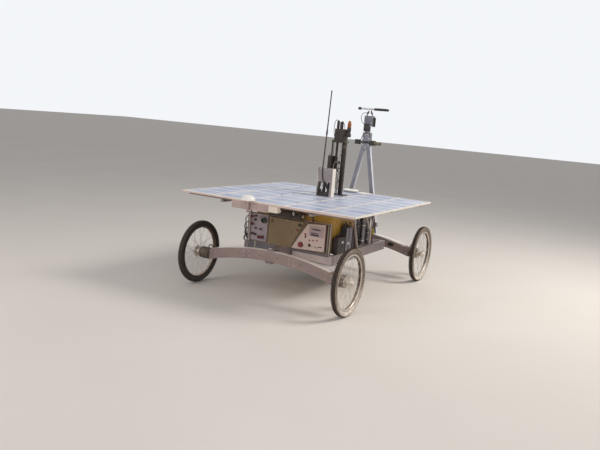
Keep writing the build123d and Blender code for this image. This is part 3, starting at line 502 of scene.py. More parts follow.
def smoother():
    """A modifier group that shades smoothly over every edge that turns less than 33 degrees."""
    group = bpy.data.node_groups.new("smooth by angle", "GeometryNodeTree")
    for direction in ("INPUT", "OUTPUT"):
        group.interface.new_socket("Geometry", in_out=direction, socket_type="NodeSocketGeometry")
    add = group.nodes.new
    start, end = add("NodeGroupInput"), add("NodeGroupOutput")
    faces, edges = add("GeometryNodeSetShadeSmooth"), add("GeometryNodeSetShadeSmooth")
    faces.domain, edges.domain = "FACE", "EDGE"
    edges.inputs["Shade Smooth"].default_value = False
    angle, compare = add("GeometryNodeInputMeshEdgeAngle"), add("FunctionNodeCompare")
    compare.operation = "GREATER_THAN"
    compare.inputs[1].default_value = radians(33)
    link = group.links.new
    link(angle.outputs["Unsigned Angle"], compare.inputs[0])
    link(compare.outputs[0], edges.inputs["Selection"])
    link(start.outputs[0], faces.inputs["Geometry"])
    link(faces.outputs[0], edges.inputs["Geometry"])
    link(edges.outputs[0], end.inputs[0])
    return group


# The frame's own nodes

SOFTER = {"body_shell": 8, "gas_bottles": 6, "batteries": 4, "instrument_boxes": 4, "drill_head": 2.5}
SOFTER.update(dict.fromkeys(("rear_beam", "front_beam", "side_rails", "cross_rails", "mast_legs",
                             "disc_antenna", "drill_carriage", "navigation_cameras"), 3))
SLOT_OF = {row["node"]: row["material_slot"] for row in frame["record"]["subparts"]}
SMOOTHER = smoother()
# The cross rails take the darker painted-shade rail colour.
OWN_SHADE = {"connector_panel": "socket_plate", "cross_rails": "rail_shade"}
for node, piece in frame["nodes"].items():
    piece.data.materials.clear()
    shade = OWN_SHADE.get(node, SLOT_OF[node])
    piece.data.materials.append(SHADES.get(shade, SHADES["frame_metal"]))
    weld = piece.modifiers.new("weld", "WELD")
    weld.merge_threshold = 0.00002
    piece.modifiers.new("smooth", "NODES").node_group = SMOOTHER
    soften(piece, SOFTER.get(node, 1.2), 3 if node in SOFTER else 2)


# Wheels

def mirrored(profile):
    """The other half of a profile, from the middle outward."""
    return [(-x, r) for x, r in profile[::-1]]


def tyre(name, hub):
    """A knobbly tyre: round carcass with a bead at the rim, and six staggered rows of blocks."""
    piece = Piece(name + "_tyre_tread", "tyre_rubber", body=name + "_wheel")
    half = [(-13.5, 254.5), (-16.5, 258), (-20.5, 264), (-25.2, 274), (-26.2, 283), (-24, 292.5),
            (-19, 300), (-11, 304.2)]
    piece.turn(hub, RIGHT, half + [(0, 305)] + mirrored(half) + [(0, 254)], 96, looped=True)
    blocks, tread_r = 72, 305
    rows = [
        # across, offset in steps, length, width, foot radius, top radius, lean
        (5.2, 0, 11.5, 7.8, 304, 308.5, 0),
        (15, 0.5, 10.5, 7, 301, 306.2, 0.25),
        (22.6, 0, 12.5, 6.2, 293, 300.2, 0.6),
    ]
    for across, offset, length, width, foot, top, lean in rows:
        for side, shift in ((1, offset), (-1, 0.5 - offset)):
            for k in range(blocks):
                places = []
                for radius, taper in ((foot, 1.12), (top, 0.86)):
                    for i, j in CORNERS:
                        reach = across + i * width / 2 * taper + lean * (radius - foot)
                        low = radius - lean * max(0, i) * 4
                        angle = 2 * pi * (k + shift) / blocks + j * length / 2 / tread_r * taper
                        places.append(around(hub, side * reach, low, angle))
                piece.faces(places, [(4, 5, 6, 7), (0, 1, 5, 4), (1, 2, 6, 5), (2, 3, 7, 6),
                                     (3, 0, 4, 7)])
    made = piece.made()
    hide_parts(name + "_tyre")


def wire_wheel(name, hub, side):
    """A laced wheel: hooked rim, 36 crossed spokes with nipples, two-flange hub and nuts."""
    piece = Piece(name + "_spoked_wheel", "wheel_metal", body=name + "_wheel")
    out = (side, 0, 0)
    half = [(-16.5, 255.2), (-17.8, 253), (-17.2, 247), (-14, 241.8), (-8.5, 238.8)]
    well = [(13.5, 253.6), (12.5, 250), (-12.5, 250), (-13.5, 253.6)]
    piece.turn(hub, RIGHT, half + mirrored(half) + well, 96, looped=True)
    per_flange, flange_x, holes_r, crossings = 18, 26, 46, 3
    step = 2 * pi / per_flange
    for flange in (-1, 1):
        reach = side * flange
        for index in range(per_flange):
            leading = 1 if index % 2 else -1
            start = step * index + (step / 2 if flange > 0 else 0)
            elbow, first = (around(hub, reach * (flange_x + face * 3.5), holes_r, side * start)
                            for face in (-leading, leading))
            last = around(hub, reach * (4.5 + leading * 1.8), 240,
                          side * (start + leading * crossings * step))
            run = (last - first).normalized()
            piece.rod(elbow, first, 1.7, sides=8)
            piece.rod(first, last - run * 11, 1.45, sides=8)
            piece.rod(last - run * 13, last, 2.3, 3, sides=8)
    for x in (-flange_x, flange_x):
        piece.turn(hub, RIGHT, [(x - 2, 20), (x - 2, 52), (x + 2, 52), (x + 2, 20)], 48)
    piece.turn(hub, out, [(-30, 10.2), (-30, 24), (-24, 26), (20, 26), (28, 25), (34, 21.5),
                          (46, 16.5), (48.5, 15), (48.5, 9), (50, 8), (50, 0)], 36)
    piece.bolts(out, 3.2, [around(hub, side * 28, 33.5, 2 * pi * k / 6) for k in range(6)], 2.5)
    valve_foot, valve_tip = (around(hub, 0, radius, 1.35) for radius in (239.5, 209.5))
    piece.rod(valve_foot, valve_tip, 3, 2.4, sides=10)
    made = piece.made()
    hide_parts(name + "_wire_wheel")


for end, end_y in (("front", AXLE_Y), ("rear", -AXLE_Y)):
    for side_name, side in (("left", -1), ("right", 1)):
        hub_at = (side * AXLE_X, end_y, WHEEL_R)
        tyre(end + "_" + side_name, hub_at)
        wire_wheel(end + "_" + side_name, hub_at, side)


# Drive units and beams

ARCH_R, ARCH_Z = 2490, 402.6 - 2490


def arch(x, up=0):
    """The height of a beam's centre line at x, or of a line that runs higher by up."""
    return ARCH_Z + sqrt((ARCH_R + up) ** 2 - x * x)


def drive_details(end, y):
    """Fins, bolts and a cable on each hub motor; bolts, holes and a pale painted-highlight strip on the
    beam.
    """
    body = end + "_axle"
    fins = Piece(end + "_drive_fins", "drive_metal", body=body, both=True)
    bolts = Piece(end + "_beam_bolts", "pin_steel", "beam_metal", body, both=True)
    holes = Piece(end + "_beam_holes", "beam_metal", "dark_hole", body, both=True)
    leads = Piece(end + "_drive_leads", "cable_black", body=body, both=True)
    fins.boxes((678, 686.5, y - 30, y + 30, WHEEL_R - 48, WHEEL_R + 48))
    fins.turn((777, y, WHEEL_R), RIGHT, [(0, 20), (0, 26), (9, 26), (9, 10), (63, 10), (63, 0)], 32)
    fins.turn((686, y, WHEEL_R), RIGHT, [(0, 30), (0, 56.2), (7, 56.2), (9, 54.5), (86, 54.5),
                                         (88, 56.2), (92, 56.2), (92, 30)], 56)
    for x in range(700, 761, 10):
        fins.band((x, y, WHEEL_R), RIGHT, 50, 56.8, 4, 56)
    places = [around((778, y, WHEEL_R), 0, 47, 2 * pi * (k + 0.5) / 8) for k in range(8)]
    bolts.bolts(RIGHT, 3.2, places, 2)
    leads.tube(4.2, (716, y + 10, WHEEL_R + 53), (712, y + 14, WHEEL_R + 78),
               (690, y + 26, WHEEL_R + 80), (665, y + 34.5, arch(665, 28)),
               (600, y + 34.5, arch(600, 26)), (460, y + 34.5, arch(460, 24)),
               (370, y + 34.5, arch(370, 12)), (342, y + 33, arch(342)),
               (340, y + 28, arch(340, -2)))
    for face in (-1, 1):
        under_mast = end == "front" and face > 0
        rows = (600, 655) if under_mast else (215, 275, 600, 655)
        places = [(x, y + face * 30, arch(x, dz)) for x in rows for dz in (22, -22)]
        bolts.bolts((0, face, 0), 5.2, places)
        for x in (100, 340):
            holes.solid((x, y + face * 30.2, arch(x)), (0, face, 0), [(-2, 6.2), (0.3, 6.2)], 20)
    # A pale strip on the beam's top and down its rear edge, thicker on the front beam: a painted
    # highlight for a sunlit top.
    tops = Piece(end + "_beam_tops", "beam_metal", "beam_top", body)
    rise, drop, lip = (56, 40, 31.2) if end == "front" else (50.8, 49.5, 28.5)
    step, gap = 64, 0.128
    for k in range(-10, 10):
        places = [(x, y + dy, arch(x, up)) for x in (step * k + gap, step * (k + 1) - gap)
                  for dy in (-lip, 28.5) for up in (drop, rise)]
        tops.faces(places, [(1, 3, 7, 5), (0, 1, 5, 4), (2, 6, 7, 3), (0, 2, 3, 1), (4, 5, 7, 6)])
    tops.made()
    made = fins.made(0.6)
    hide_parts(end + "_drive_units")
    bolts.made()
    holes.made()
    leads.made()


def beam_cover():
    """A dark oval cover on the front beam's rear face."""
    x, half_width, half_height = 465, Vector((40, 0, 0)), Vector((0, 0, 24))
    oval = Piece("front_beam_cover", "drive_metal", "dark_hole", "front_axle")
    oval.grid([ring(Vector((x, y, arch(x) + 1)), half_width, half_height, size, 24)
               for y, size in ((930.2, 1), (927.5, 0.94))])
    oval.made(0.4)


drive_details("front", AXLE_Y)
drive_details("rear", -AXLE_Y)
beam_cover()


# Service end

FACE = -656


def controls():
    """Display, stop button, knob, lever, lights and key slot on the control plate."""
    made = boxed("upper_display", "control_mix", "display", 0.8,
                 (230, 385, FACE - 4, FACE + 1, 600, 700))
    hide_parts("controls")
    pale = Piece("display_frame", "control_mix", "cream_sheet")
    pale.plates(FACE - 4.6, FACE - 3, (230, 385, 696, 700), (230, 385, 600, 603),
                (230, 233, 603, 696), (382, 385, 603, 696), (262, 350, 646, 648))
    pale.made()
    bars = Piece("display_windows", "control_mix", "dark_display")
    bars.plates(FACE - 4.7, FACE - 3, (262, 349, 660, 673.5), (250, 330, 626, 635))
    bars.plates(FACE - 4.9, FACE - 3, (250, 336, 604, 621))
    bars.made(0.6)
    stop = (148, FACE, 501)
    reds = Piece("red_buttons", "control_mix", "signal_red")
    reds.solid(stop, REARWARD, [(2, 14.5), (12, 14.5), (13.5, 22.5), (17, 24), (20.5, 22.5),
                                (22, 16)], 36)
    rings = Piece("red_button_rings", "control_mix", "socket_red")
    for x, z, radius, outer in ((190, 606, 7, 10), (192, 583, 7, 10), (239, 555, 6, 7.8),
                                (277, 561, 6, 7.8), (318, 564, 6, 7.8)):
        reds.solid((x, FACE, z), REARWARD, [(1, radius * 0.8), (6, radius * 0.8),
                                            (8, radius * 0.5)], 20)
        rings.turn((x, FACE, z), REARWARD, [(-1, 0), (-1, outer), (3, outer), (3.5, 0)], 24)
    reds.made()
    rings.turn((148, FACE - 22.8, 501), REARWARD, [(0, 7), (1.2, 6), (1.2, 0)], 24)
    rings.made()
    darks = Piece("black_controls", "control_mix", "socket_dark")
    darks.solid(stop, REARWARD, [(-1, 26.5), (3, 26.5), (4, 25)], 36)
    darks.solid((242, FACE, 509), REARWARD, [(-1, 15), (4, 15), (6, 11.5), (15.5, 9.5), (16, 7)], 28)
    darks.plates(FACE - 3, FACE + 1, (335, 375, 503, 511))
    darks.plates(FACE - 2, FACE + 1, (300, 330, 493, 499), (296, 306, 508, 513))
    darks.made(0.4)
    levers = Piece("small_levers", "control_mix", "bolt_steel")
    levers.turn((277, FACE, 505), REARWARD, [(-1, 0), (-1, 5.5), (3, 5.5), (4, 2.2), (18, 3),
                                             (19, 0)], 18)
    levers.screws(FACE, 3.2, (66, 459), (214, 699), (388, 716), (394, 476), (230, 464))
    levers.made()


def sockets():
    """Round connectors on the left panel, some red, one large and green."""
    wall_left, frame_top = -475, 445
    rows = {
        # inset from the wall's left edge, height above the frame, radius, reach
        "dark": [(162, 134, 12, 14), (95, 220, 13, 24), (101, 260, 11, 20), (72, 81, 13, 30),
                 (104, 75, 13, 24), (104, 137, 11, 20)],
        "red": [(151, 54, 18, 22), (189, 60, 18, 22), (61, 250, 12, 30), (68, 177, 14, 34)],
        "green": [(196, 228, 34, 26)],
    }
    steel = Piece("socket_rings", "socket_dark", "bolt_steel")
    for colour, places in rows.items():
        piece = Piece("sockets_" + colour, "socket_dark", "socket_" + colour)
        for inset, height, r, deep in places:
            x, z = wall_left + inset, frame_top + height
            piece.solid((x, FACE, z), REARWARD, [
                (-1, r * 0.97), (deep * 0.35, r * 0.97), (deep * 0.4, r * 0.8),
                (deep * 0.94, r * 0.8), (deep, r * 0.74), (deep, r * 0.5),
                (deep * 0.55, r * 0.46)], 32)
            steel.band((x, FACE - deep * 0.42, z), REARWARD, r * 0.79, r * 0.87, deep * 0.1, 32)
        made = piece.made()
        if colour == "dark":
            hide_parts("connectors")
    steel.made()


def panels():
    """Trims, seams, screws and latches of the bulkhead and its blank panels."""
    boxed("panel_shadow_trim", "wall_metal", "dark_hole", 0.6,
          (407.5, 423, -652, -649.5, 460, 733), (-224, -220.5, -653, -649.5, 450, 724),
          (-220, 158, -653, -649.5, 720.5, 726))
    boxed("panel_red_seam", "wall_metal", "seam_red", 0.6,
          (165, 414, -653.5, -649.5, 728, 733.8), (406, 414, -656, -649.5, 470, 733.8))
    boxed("panel_pale_seam", "wall_metal", "cream_sheet", 0.6, (170, 424, -653, -632, 734.8, 738.5))
    boxed("bulkhead_cover", "wall_metal", "instrument_dark", 1,
          (-225.8, 130.8, -660.8, -629.2, 735.8, 785.8))
    screws = Piece("panel_screws", "olive_sheet", "bolt_steel")
    screws.screws(-654, 3.4, (-213, 459), (-213, 711), (-20, 711), (148, 709), (-100, 459), (26, 459))
    screws.screws(-656, 3.2, (-456, 470), (-456, 718), (-248, 470), (-330, 718), (-410, 470))
    screws.screws(-653, 3.4, (70, 366), (70, 429), (484, 366), (484, 429))
    screws.made()
    boxed("panel_latches", "olive_sheet", "dark_hole", 0.6,
          (30, 36, -657, -653.5, 598, 634), (-196, -188, -657, -653.5, 668, 688))
    latch = Piece("green_latch", "olive_sheet", "socket_green")
    latch.solid((122.5, -654, 684), REARWARD, [(-1, 17.5), (6, 17.5), (8, 13)], 24)
    latch.made()
    latch = Piece("brown_latch", "olive_sheet", "rust_brown")
    latch.solid((101, -654, 634), REARWARD, [(-1, 13), (5, 13), (6, 10)], 24)
    latch.plates(-655, -653, (-223.5, -219, 630, 718))
    latch.made()
    stay = Piece("latch_stay", "olive_sheet", "latch_pale")
    stay.tube(3.2, (50, -656, 695), (49, -656, 670), (42, -656, 640), (28, -656, 615),
              (10, -656, 597))
    stay.made()
    boxed("panel_seams", "olive_sheet", "olive_seam", 0,
          (0, 2.5, -654.6, -653, 560, 705), (-188, -185, -654.6, -653, 600, 716))


controls()
sockets()
panels()


# Solar array

def array_lines():
    """Cream strips between the strings, a rim round the cells, screws, clips and wiring."""
    columns = (-567, -213, 213, 567)
    boxed("array_strips", "tray_white", None, 0.4,
          *[(x - 11.5, x + 11.5, -1152, 802, 917.3, 919.2) for x in columns])
    rows = [(-915.8, -901.8, -1169.8, 819.8), (901.8, 915.8, -1169.8, 819.8),
            (-901, 901, -1169.8, -1155.8), (-901, 901, 805.8, 819.8)]
    boxed("array_rim", "tray_white", None, 0.8, *[(*row, 916.8, 920) for row in rows])
    screws = Piece("array_screws", "tray_white", "bolt_steel")
    places = [(x, y) for x in (-909, *columns, 909) for y in (-1162.5, 812.5)]
    places += [(x, y) for x in (-909, 909) for y in (-830, -500, -170, 160, 490)]
    for x, y in places:
        screws.turn((x, y, 919.8), UP, [(0, 3.6), (1.2, 3.4), (1.8, 2), (1.8, 0)], 14)
    screws.made()
    marks = Piece("array_clips", "tray_white", "socket_dark")
    for x, y in ((-222, -457), (-216, -231), (196, -432), (216, 120), (-567, 560)):
        marks.turn((x, y, 918), UP, [(0, 8.5), (3, 8.5), (4, 6), (4, 0)], 18)
    marks.boxes((-899, 899, -1157, -1153, 917.2, 919.1))
    marks.made()
    boxed("array_rear_edge", "tray_white", "cream_sheet", 0,
          (-915, 40, -1170.6, -1169, 905.6, 916.5), (40, 915, -1171, -1169, 902, 917.2))
    under = Piece("array_wiring", "cable_black")
    for x in (-390, 0, 390):
        under.tube(3.5, (x, 700, 900.5), (x + 10, 300, 900), (x - 10, -50, 900.5), (x, -140, 900))
        under.boxes(*[(x - 50, x + 50, y - 35, y + 35, 889, 905.2) for y in (-900, -450, 100, 550)])
    under.made(1)


array_lines()


# Drill

def drill_tower():
    """Column with rounded edges, guide rail, feed screw, side rods, bands, hoses and cables."""
    low, high, middle, corner, radius = 452, 1475, 74, 13.5, 8
    column = Piece("drill_column", "drill_dark")
    outline = []
    for cx, cy, start in ((1, 1, 0), (-1, 1, 90), (-1, -1, 180), (1, -1, 270)):
        for k in range(5):
            a = radians(start + 22.5 * k)
            outline.append((middle + cx * corner + radius * cos(a),
                            DRILL_Y + cy * corner + radius * sin(a)))
    column.grid([[(x, y, z) for x, y in outline] for z in (low, high)])
    column.boxes(*[(51.5, 96.5, 247.5, 292.5, z, z + 12) for z in range(980, 1431, 90)])
    column.rod((-12, DRILL_Y, low), (-12, DRILL_Y, high), 13, sides=32)
    column_made = column.made(0.6)
    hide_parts("drill_rails")
    screw = Piece("drill_screw", "drill_dark", "bolt_steel")
    thread = [(z + along, r) for z in range(0, 1020, 11)
              for along, r in ((0, 4.5), (4, 4.5), (5.5, 3.9), (9.5, 3.9))]
    screw.solid((28, DRILL_Y, 451.5), UP, [*thread, (1023.5, 4.5)], 16)
    screw.made()
    rods = Piece("drill_side_rods", "drill_dark")
    rods.rod((-45, 225.5, 926), (-45, 225.5, 1492), 8, sides=18)
    rods.rod((-27, 223.5, 926), (-27, 223.5, 1475), 2.6, sides=12)
    rods.boxes((-52, -21, 219.5, 234.5, 1474, 1492), (-52, -21, 217.5, 231.5, 926.5, 942))
    rods.made(0.8)
    made = boxed("drill_bands", "drill_head", "band_green", 1.2,
                 (-48.5, -5, 230.5, 309.5, 1480, 1493.5), (90, 105.5, 230.5, 309.5, 1480, 1493.5),
                 (-64, -46.5, 237, 260, 1476, 1500), (51, 97.2, 246.8, 293.2, 1430, 1442))
    hose = Piece("drill_hoses", "drill_dark", "hose_grey")
    hose.tube(4.6, (-15, 223, 926), (-16.5, 222.5, 1020), (-15, 221.5, 1140), (-8, 221.5, 1235),
              (13, 221.5, 1272), (35, 221.5, 1262), (48, 223, 1215), (53.5, 224, 1100),
              (55, 224, 1000), (55, 224, 926.5), sides=12)
    hose.made()
    black = Piece("drill_cables", "drill_dark", "cable_black")
    black.tube(3.4, (-3, 221.5, 926.5), (-5, 219, 1030), (3, 218, 1140), (19, 218, 1185),
               (33, 218.5, 1150), (39, 219, 1040), (41, 220, 926.5))
    black.tube(3, (-21, 270, 1703), (-35, 262, 1712), (-53, 256, 1690), (-59, 252, 1620),
               (-51, 248, 1560), (-43, 250, 1530))
    black.tube(3, (20, 256, 1690), (38, 250, 1700), (60, 246, 1670), (72, 244, 1625),
               (74, 246, 1600))
    black.tube(3, (112, 252, 1548), (114, 240, 1530), (110, 236, 1500), (98, 238, 1486))
    black.tube(3.2, (62, 243.5, 926.5), (62, 243.5, 1200), (62, 243.5, 1400), (62, 240, 1476))
    for z in (1060, 1200, 1340):
        black.boxes((51, 61, 219, 249, z, z + 8))
    for x, up in ((4, 0), (13, 10), (22, 20)):
        black.tube(5, (x, 220, 926.5), (x - 2, 216.5, 980 + up), (x + 3, 215.5, 1080),
                   (x + 1, 217, 1160 + up), (x + 8, 220, 1190 + up), (x + 18, 230, 1170))
    black.made(0.4)


def drill_head():
    """Fittings of the head, the spindle motor and its gearbox, the feed motor and the auger."""
    head = Piece("drill_head_fittings", "drill_dark")
    for x, radius, top in ((-21, 14, 1705), (20, 18, 1694)):
        for z in range(1632, 1681, 16):
            head.band((x, DRILL_Y, z), UP, radius - 1, radius + 1.4, 5, 28)
        head.rod((x, DRILL_Y, top - 2), (x, DRILL_Y, top - 0.5), radius * 0.5, sides=16)
    head.boxes((-35, 76, 232, 236.5, 1510, 1605), (-25, 15, 229, 233, 1525, 1590),
               (26, 66, 229, 233, 1540, 1575))
    head.bolts(REARWARD, 3.5, [(x, 232, z) for x in (-29, 70) for z in (1516, 1599)])
    head.made(1)
    spindle_x, auger_x = 109, -62
    motor = Piece("spindle_motor_case", "motor_copper")
    motor.solid((spindle_x, DRILL_Y, 1600), UP, [
        (0, 18), (4, 19), (30, 19.5), (34, 18), (38, 19.5), (80, 19.5), (86, 17.5), (100, 17),
        (102, 12), (108, 11.5), (112, 8)], 36)
    made = motor.made()
    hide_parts("spindle_motor")
    gear = Piece("spindle_gearbox", "drill_dark")
    gear.solid((spindle_x, DRILL_Y, 1575), UP, [(0, 20), (8, 20), (10, 18.5), (20, 18.5),
                                                (22, 19.8), (26, 19.8)], 32)
    gear.turn((spindle_x, DRILL_Y, 1599.5), UP, [(0, 15), (0, 20.5), (4, 21.2), (40, 21.2),
                                                 (44, 19.8), (44, 15)], 36)
    gear.band((spindle_x, DRILL_Y, 1672), UP, 18.5, 20, 4, 36)
    gear.made()
    slide = Piece("drill_motor_fittings", "drill_dark", body="drill_slide")
    slide.boxes(*[(-94.6, -29.4, 239.4, 300.6, z, z + 6) for z in range(1200, 1311, 22)])
    slide.boxes((-84, -40, 238, 242, 1230, 1290))
    slide.tube(3, (-86, 270, 1329), (-86, 270, 1342), (-80, 268, 1352), (-70, 268, 1350),
               (-66, 270, 1329))
    slide.made(0.8)
    bit = Piece("auger_flights", "auger_steel", body="drill_slide")
    bit.turn((auger_x, DRILL_Y, 600), UP, [(0, 0), (4, 1.4), (30, 6.8), (560, 6.8), (560, 0)], 20)
    turns, per_turn, low, rise = 17, 20, 612, 538
    rings = []
    for k in range(turns * per_turn + 1):
        a = 2 * pi * k / per_turn
        share = k / (turns * per_turn)
        out = 12 * min(1, 0.35 + share * 9)
        section = ((6.2, -1.4), (out, -0.6), (out, 0.6), (6.2, 1.4))
        rings.append([(auger_x + r * cos(a), DRILL_Y + r * sin(a), low + rise * share + up)
                      for r, up in section])
    bit.grid(rings)
    made = bit.made()
    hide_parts("auger")


drill_tower()
drill_head()


# Aerials

def whip_at(z):
    """The leaning whip's middle at a height; its tip is over the origin."""
    tip_z, foot_z, foot_x, foot_y = 2005, 1000, -32, 8
    share = (tip_z - z) / (tip_z - foot_z)
    return Vector((foot_x * share, foot_y * share, z))


def whip():
    """The whip in two colours, on its sleeved foot."""
    lower = Piece("whip_lower", "whip_dark")
    lower.rod(whip_at(999), whip_at(1549), 7.2, 6.4, 16)
    lower.solid((-32, 8, ON_ARRAY), UP, [(0, 10.8), (12, 10.8), (14, 8.5), (40, 8.5), (44, 10.5),
                                         (64, 10.5), (70, 8.5), (81.5, 7.4)], 24)
    run = whip_at(1600) - whip_at(1548)
    lower.solid(whip_at(1548), run, [(0, 6.5), (4, 9.2), (48, 9.2), (52, 6.4)], 20)
    made = lower.made()
    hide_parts("whip_antenna")
    upper = Piece("whip_upper", "whip_dark", "whip_blue")
    upper.rod(whip_at(1599), whip_at(1990), 6.4, 5.8, 16)
    upper.turn(whip_at(1984), run, [(0, 0), (3, 6.2), (9, 7.6), (15, 6), (19.5, 2.2), (20, 0)], 18)
    upper.made()


def bracket():
    """The bracket's folded sheet, with glands, leads and a label in it."""
    glands = Piece("bracket_glands", "cable_black")
    for x, y, r, h in ((-34, -24, 12, 143), (20, -10, 15, 131), (60, 5, 15, 161), (88, -12, 14, 121)):
        glands.solid((x, y, ON_ARRAY), UP, [
            (0, r), (30, r), (32, r * 0.85), (46, r * 0.85), (48, r * 0.98), (h * 0.62, r * 0.98),
            (h * 0.64, r * 0.8), (h, r * 0.72)], 28)
    made = glands.made()
    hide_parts("cable_bundle")
    leads = Piece("bracket_leads", "cable_black")
    leads.tube(4.2, (20, -10, 1045), (18, -14, 1085), (6, -26, 1075), (-6, -38, 1000), (-10, -40, 920))
    leads.tube(4.2, (60, 5, 1075), (60, -4, 1110), (50, -28, 1095), (40, -38, 1010), (36, -40, 920))
    leads.tube(4.2, (88, -12, 1035), (88, -16, 1075), (80, -30, 1060), (70, -38, 990), (64, -40, 920))
    leads.tube(4, (-34, -24, 1058), (-34, -18, 1100), (-34, 0, 1120), (-34, 6, 1080))
    leads.tube(5, (-10, 30, 920), (-12, 32, 1050), (10, 34, 1140), (50, 34, 1150), (88, 32, 1070),
               (94, 30, 920))
    leads.made()
    label = Piece("bracket_labels", "bracket_white", "label_white")
    label.bar((3, -38.5, 1055), (-7, -44.5, 990), 12, 1.2, (0.3, 1, 0))
    label.made(0.3)
    x0, x1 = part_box("antenna_bracket")[0].x * 1000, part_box("antenna_bracket")[1].x * 1000 - 6.5
    near, far, foot, top = -50, 22, ON_ARRAY, 1210
    made = boxed("bracket_sheet", "bracket_white", None, 0.8,
                 (x0, x1, near, far, top - 3, top), (x0, x0 + 3, near, far, foot, top),
                 (x1 - 3, x1, near, far, foot, top), (-29, x1, near, near + 3, 1065, top),
                 (x1 - 25, x1, near, near + 3, foot, 1067),
                 (x1 - 25, x1, near - 1, far, foot, foot + 3))
    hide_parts("antenna_bracket")
    # Pale sheets over the cheeks: a painted highlight for their sunlit faces.
    boxed("bracket_cheek_painted_highlight", "bracket_white", "tray_white", 0,
          (x1 - 0.2, x1 + 0.8, near, far, foot + 0.2, top),
          (x0, x0 + 3.8, near - 0.6, far, foot + 0.2, top - 2))
    face = Piece("bracket_face_lead", "cable_black")
    face.tube(5.6, (-10, -30, 1213.5), (-2, -46, 1215), (4, -54.5, 1208), (5, -55, 1170),
              (9, -55, 1130), (18, -55, 1093), (42, -56, 1053), (36, -54, 1013), (19, -48, 977),
              (17, -44, 945))
    face.tube(5, (86, -33, 1060), (70, -43, 1042), (64, -46, 1033), (76, -46, 1005),
              (88, -46, 975), (91, -44, 940))
    face.tube(9.5, (40, -30, 1066), (48, -34, 1045), (58, -34, 1020), (62, -30, 1000))
    face.boxes((-12, 95, -48, -34, 919, 956), (-8, 9, -47, -35, 950, 966), (18, 35, -47, -35, 950, 972),
               (44, 61, -47, -35, 950, 964), (70, 87, -47, -35, 950, 978))
    face.made(0.6)
    trim = Piece("bracket_trim", "bracket_white", "bolt_steel")
    trim.screws(near, 3.4, *[(x, z) for x in (-22, 30, x1 - 35, x1 - 8) for z in (1200, 1080)],
                (x1 - 13, 935), (x1 - 13, 1000))
    trim.made()


def dome_and_disc():
    """The dome's sleeve, the disc's plinth and its seam."""
    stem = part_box("dome_antenna")[0]
    sleeve = Piece("dome_stem_sleeve", "skirt_grey")
    sleeve.turn((-147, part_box("solar_panel")[0].y * 1000 - 12, stem.z * 1000), UP,
                [(-0.6, 0), (-0.6, 11.8), (0.6, 12.8), (98, 12.8), (98, 11)], 28)
    sleeve.made()
    plinth = Piece("disc_plinth_band", "dome_white", "whip_dark")
    plinth.turn((-4, 715, ON_ARRAY), UP, [(0, 70), (0, 73.5), (4, 73.5), (5, 72.3), (16, 72.3),
                                          (16, 70)], 56, looped=True)
    plinth.made()
    seat = Piece("disc_seam", "dome_white")
    seat.turn((-4, 715, 946.4), UP, [(-1, 60), (0.6, 59), (0.6, 50), (-1, 49)], 56, looped=True)
    seat.made()


whip()
bracket()
dome_and_disc()


# Mast

def mast_legs():
    """Plates, pale painted-highlight strips, bolts and cables on the mast's legs, and the navigation
    cameras.
    """
    plates = Piece("mast_gussets", "mast_metal", body="front_axle")
    outline = [(-48, 1440), (-50, 1520), (-30, 1590), (30, 1590), (50, 1520), (48, 1440), (0, 1395)]
    for faces in ((998, 995), (1044, 1047)):
        plates.grid([[(x, y, z) for x, z in outline] for y in faces])
    # Pale strips on the legs' right faces are a painted highlight for their sunlit sides.
    edges = Piece("mast_leg_painted_highlights", "mast_metal", "mast_pale", "front_axle")
    for side, stop in ((-1, 0.93), (1, 0.97)):
        plates.bar((side * 218, 1020.5, 520), (side * 208, 1020.5, 566), 52, 50)
        foot = Vector((side * 237 + 22.8, 1021, 369 + side * 4.4))
        apex = Vector((side * 24.5 + 22.8, 1021, 1470 + side * 4.4))
        edges.bar(foot.lerp(apex, 0.05), foot.lerp(apex, stop), 42, 1.6, RIGHT)
    plates.made(0.8)
    edges.made()
    bolts = Piece("mast_bolts", "mast_metal", "bolt_steel", "front_axle")
    places = ((-36, 1455), (36, 1455), (-20, 1575), (20, 1575), (0, 1420), (-38, 1530), (38, 1530))
    for direction, y in ((REARWARD, 995), (AHEAD, 1047)):
        bolts.bolts(direction, 4.8, [(x, y, z) for x, z in places])
    bolts.bolts(AHEAD, 5.5, [(x, 998, z) for x in (-262, -198, 198, 262) for z in (356, 432)])
    bolts.made()
    cables = Piece("mast_cables", "cable_black", body="front_axle")
    cables.tube(3.6, (46, 1050, 1462), (50, 1048.5, 1400), (70, 1048, 1250), (120, 1048, 980),
                (180, 1048, 660), (218, 1048, 470))
    cables.tube(3.4, (0, 990, 1600), (-24, 986, 1585), (-52, 986, 1545), (-62, 988, 1510),
                (-74, 996, 1497))
    cables.tube(3.4, (10, 990, 1600), (36, 984, 1578), (58, 986, 1545), (72, 994, 1509))
    for share in (0.12, 0.4, 0.68, 0.93):
        x, z = 50 + 168 * share, 1400 - 930 * share
        cables.boxes((x - 16, x + 16, 1044, 1052.5, z - 3, z + 3))
    cables.made(0.4)
    lenses = Piece("navigation_lenses", "camera_dark", "lens_olive", "front_axle")
    lenses.solid((118, 986, 1482), RIGHT, [(0, 19.8), (4, 19.8), (6, 18.6), (44, 18.6), (46, 19.8),
                                           (66, 19.6), (68, 18)], 36)
    lenses.made()
    glass = Piece("camera_glass", "camera_dark", "lens_glass", "front_axle")
    glass.solid((185.5, 986, 1482), RIGHT, [(-2, 14), (0.4, 14), (0.5, 10)], 32)
    glass.made()


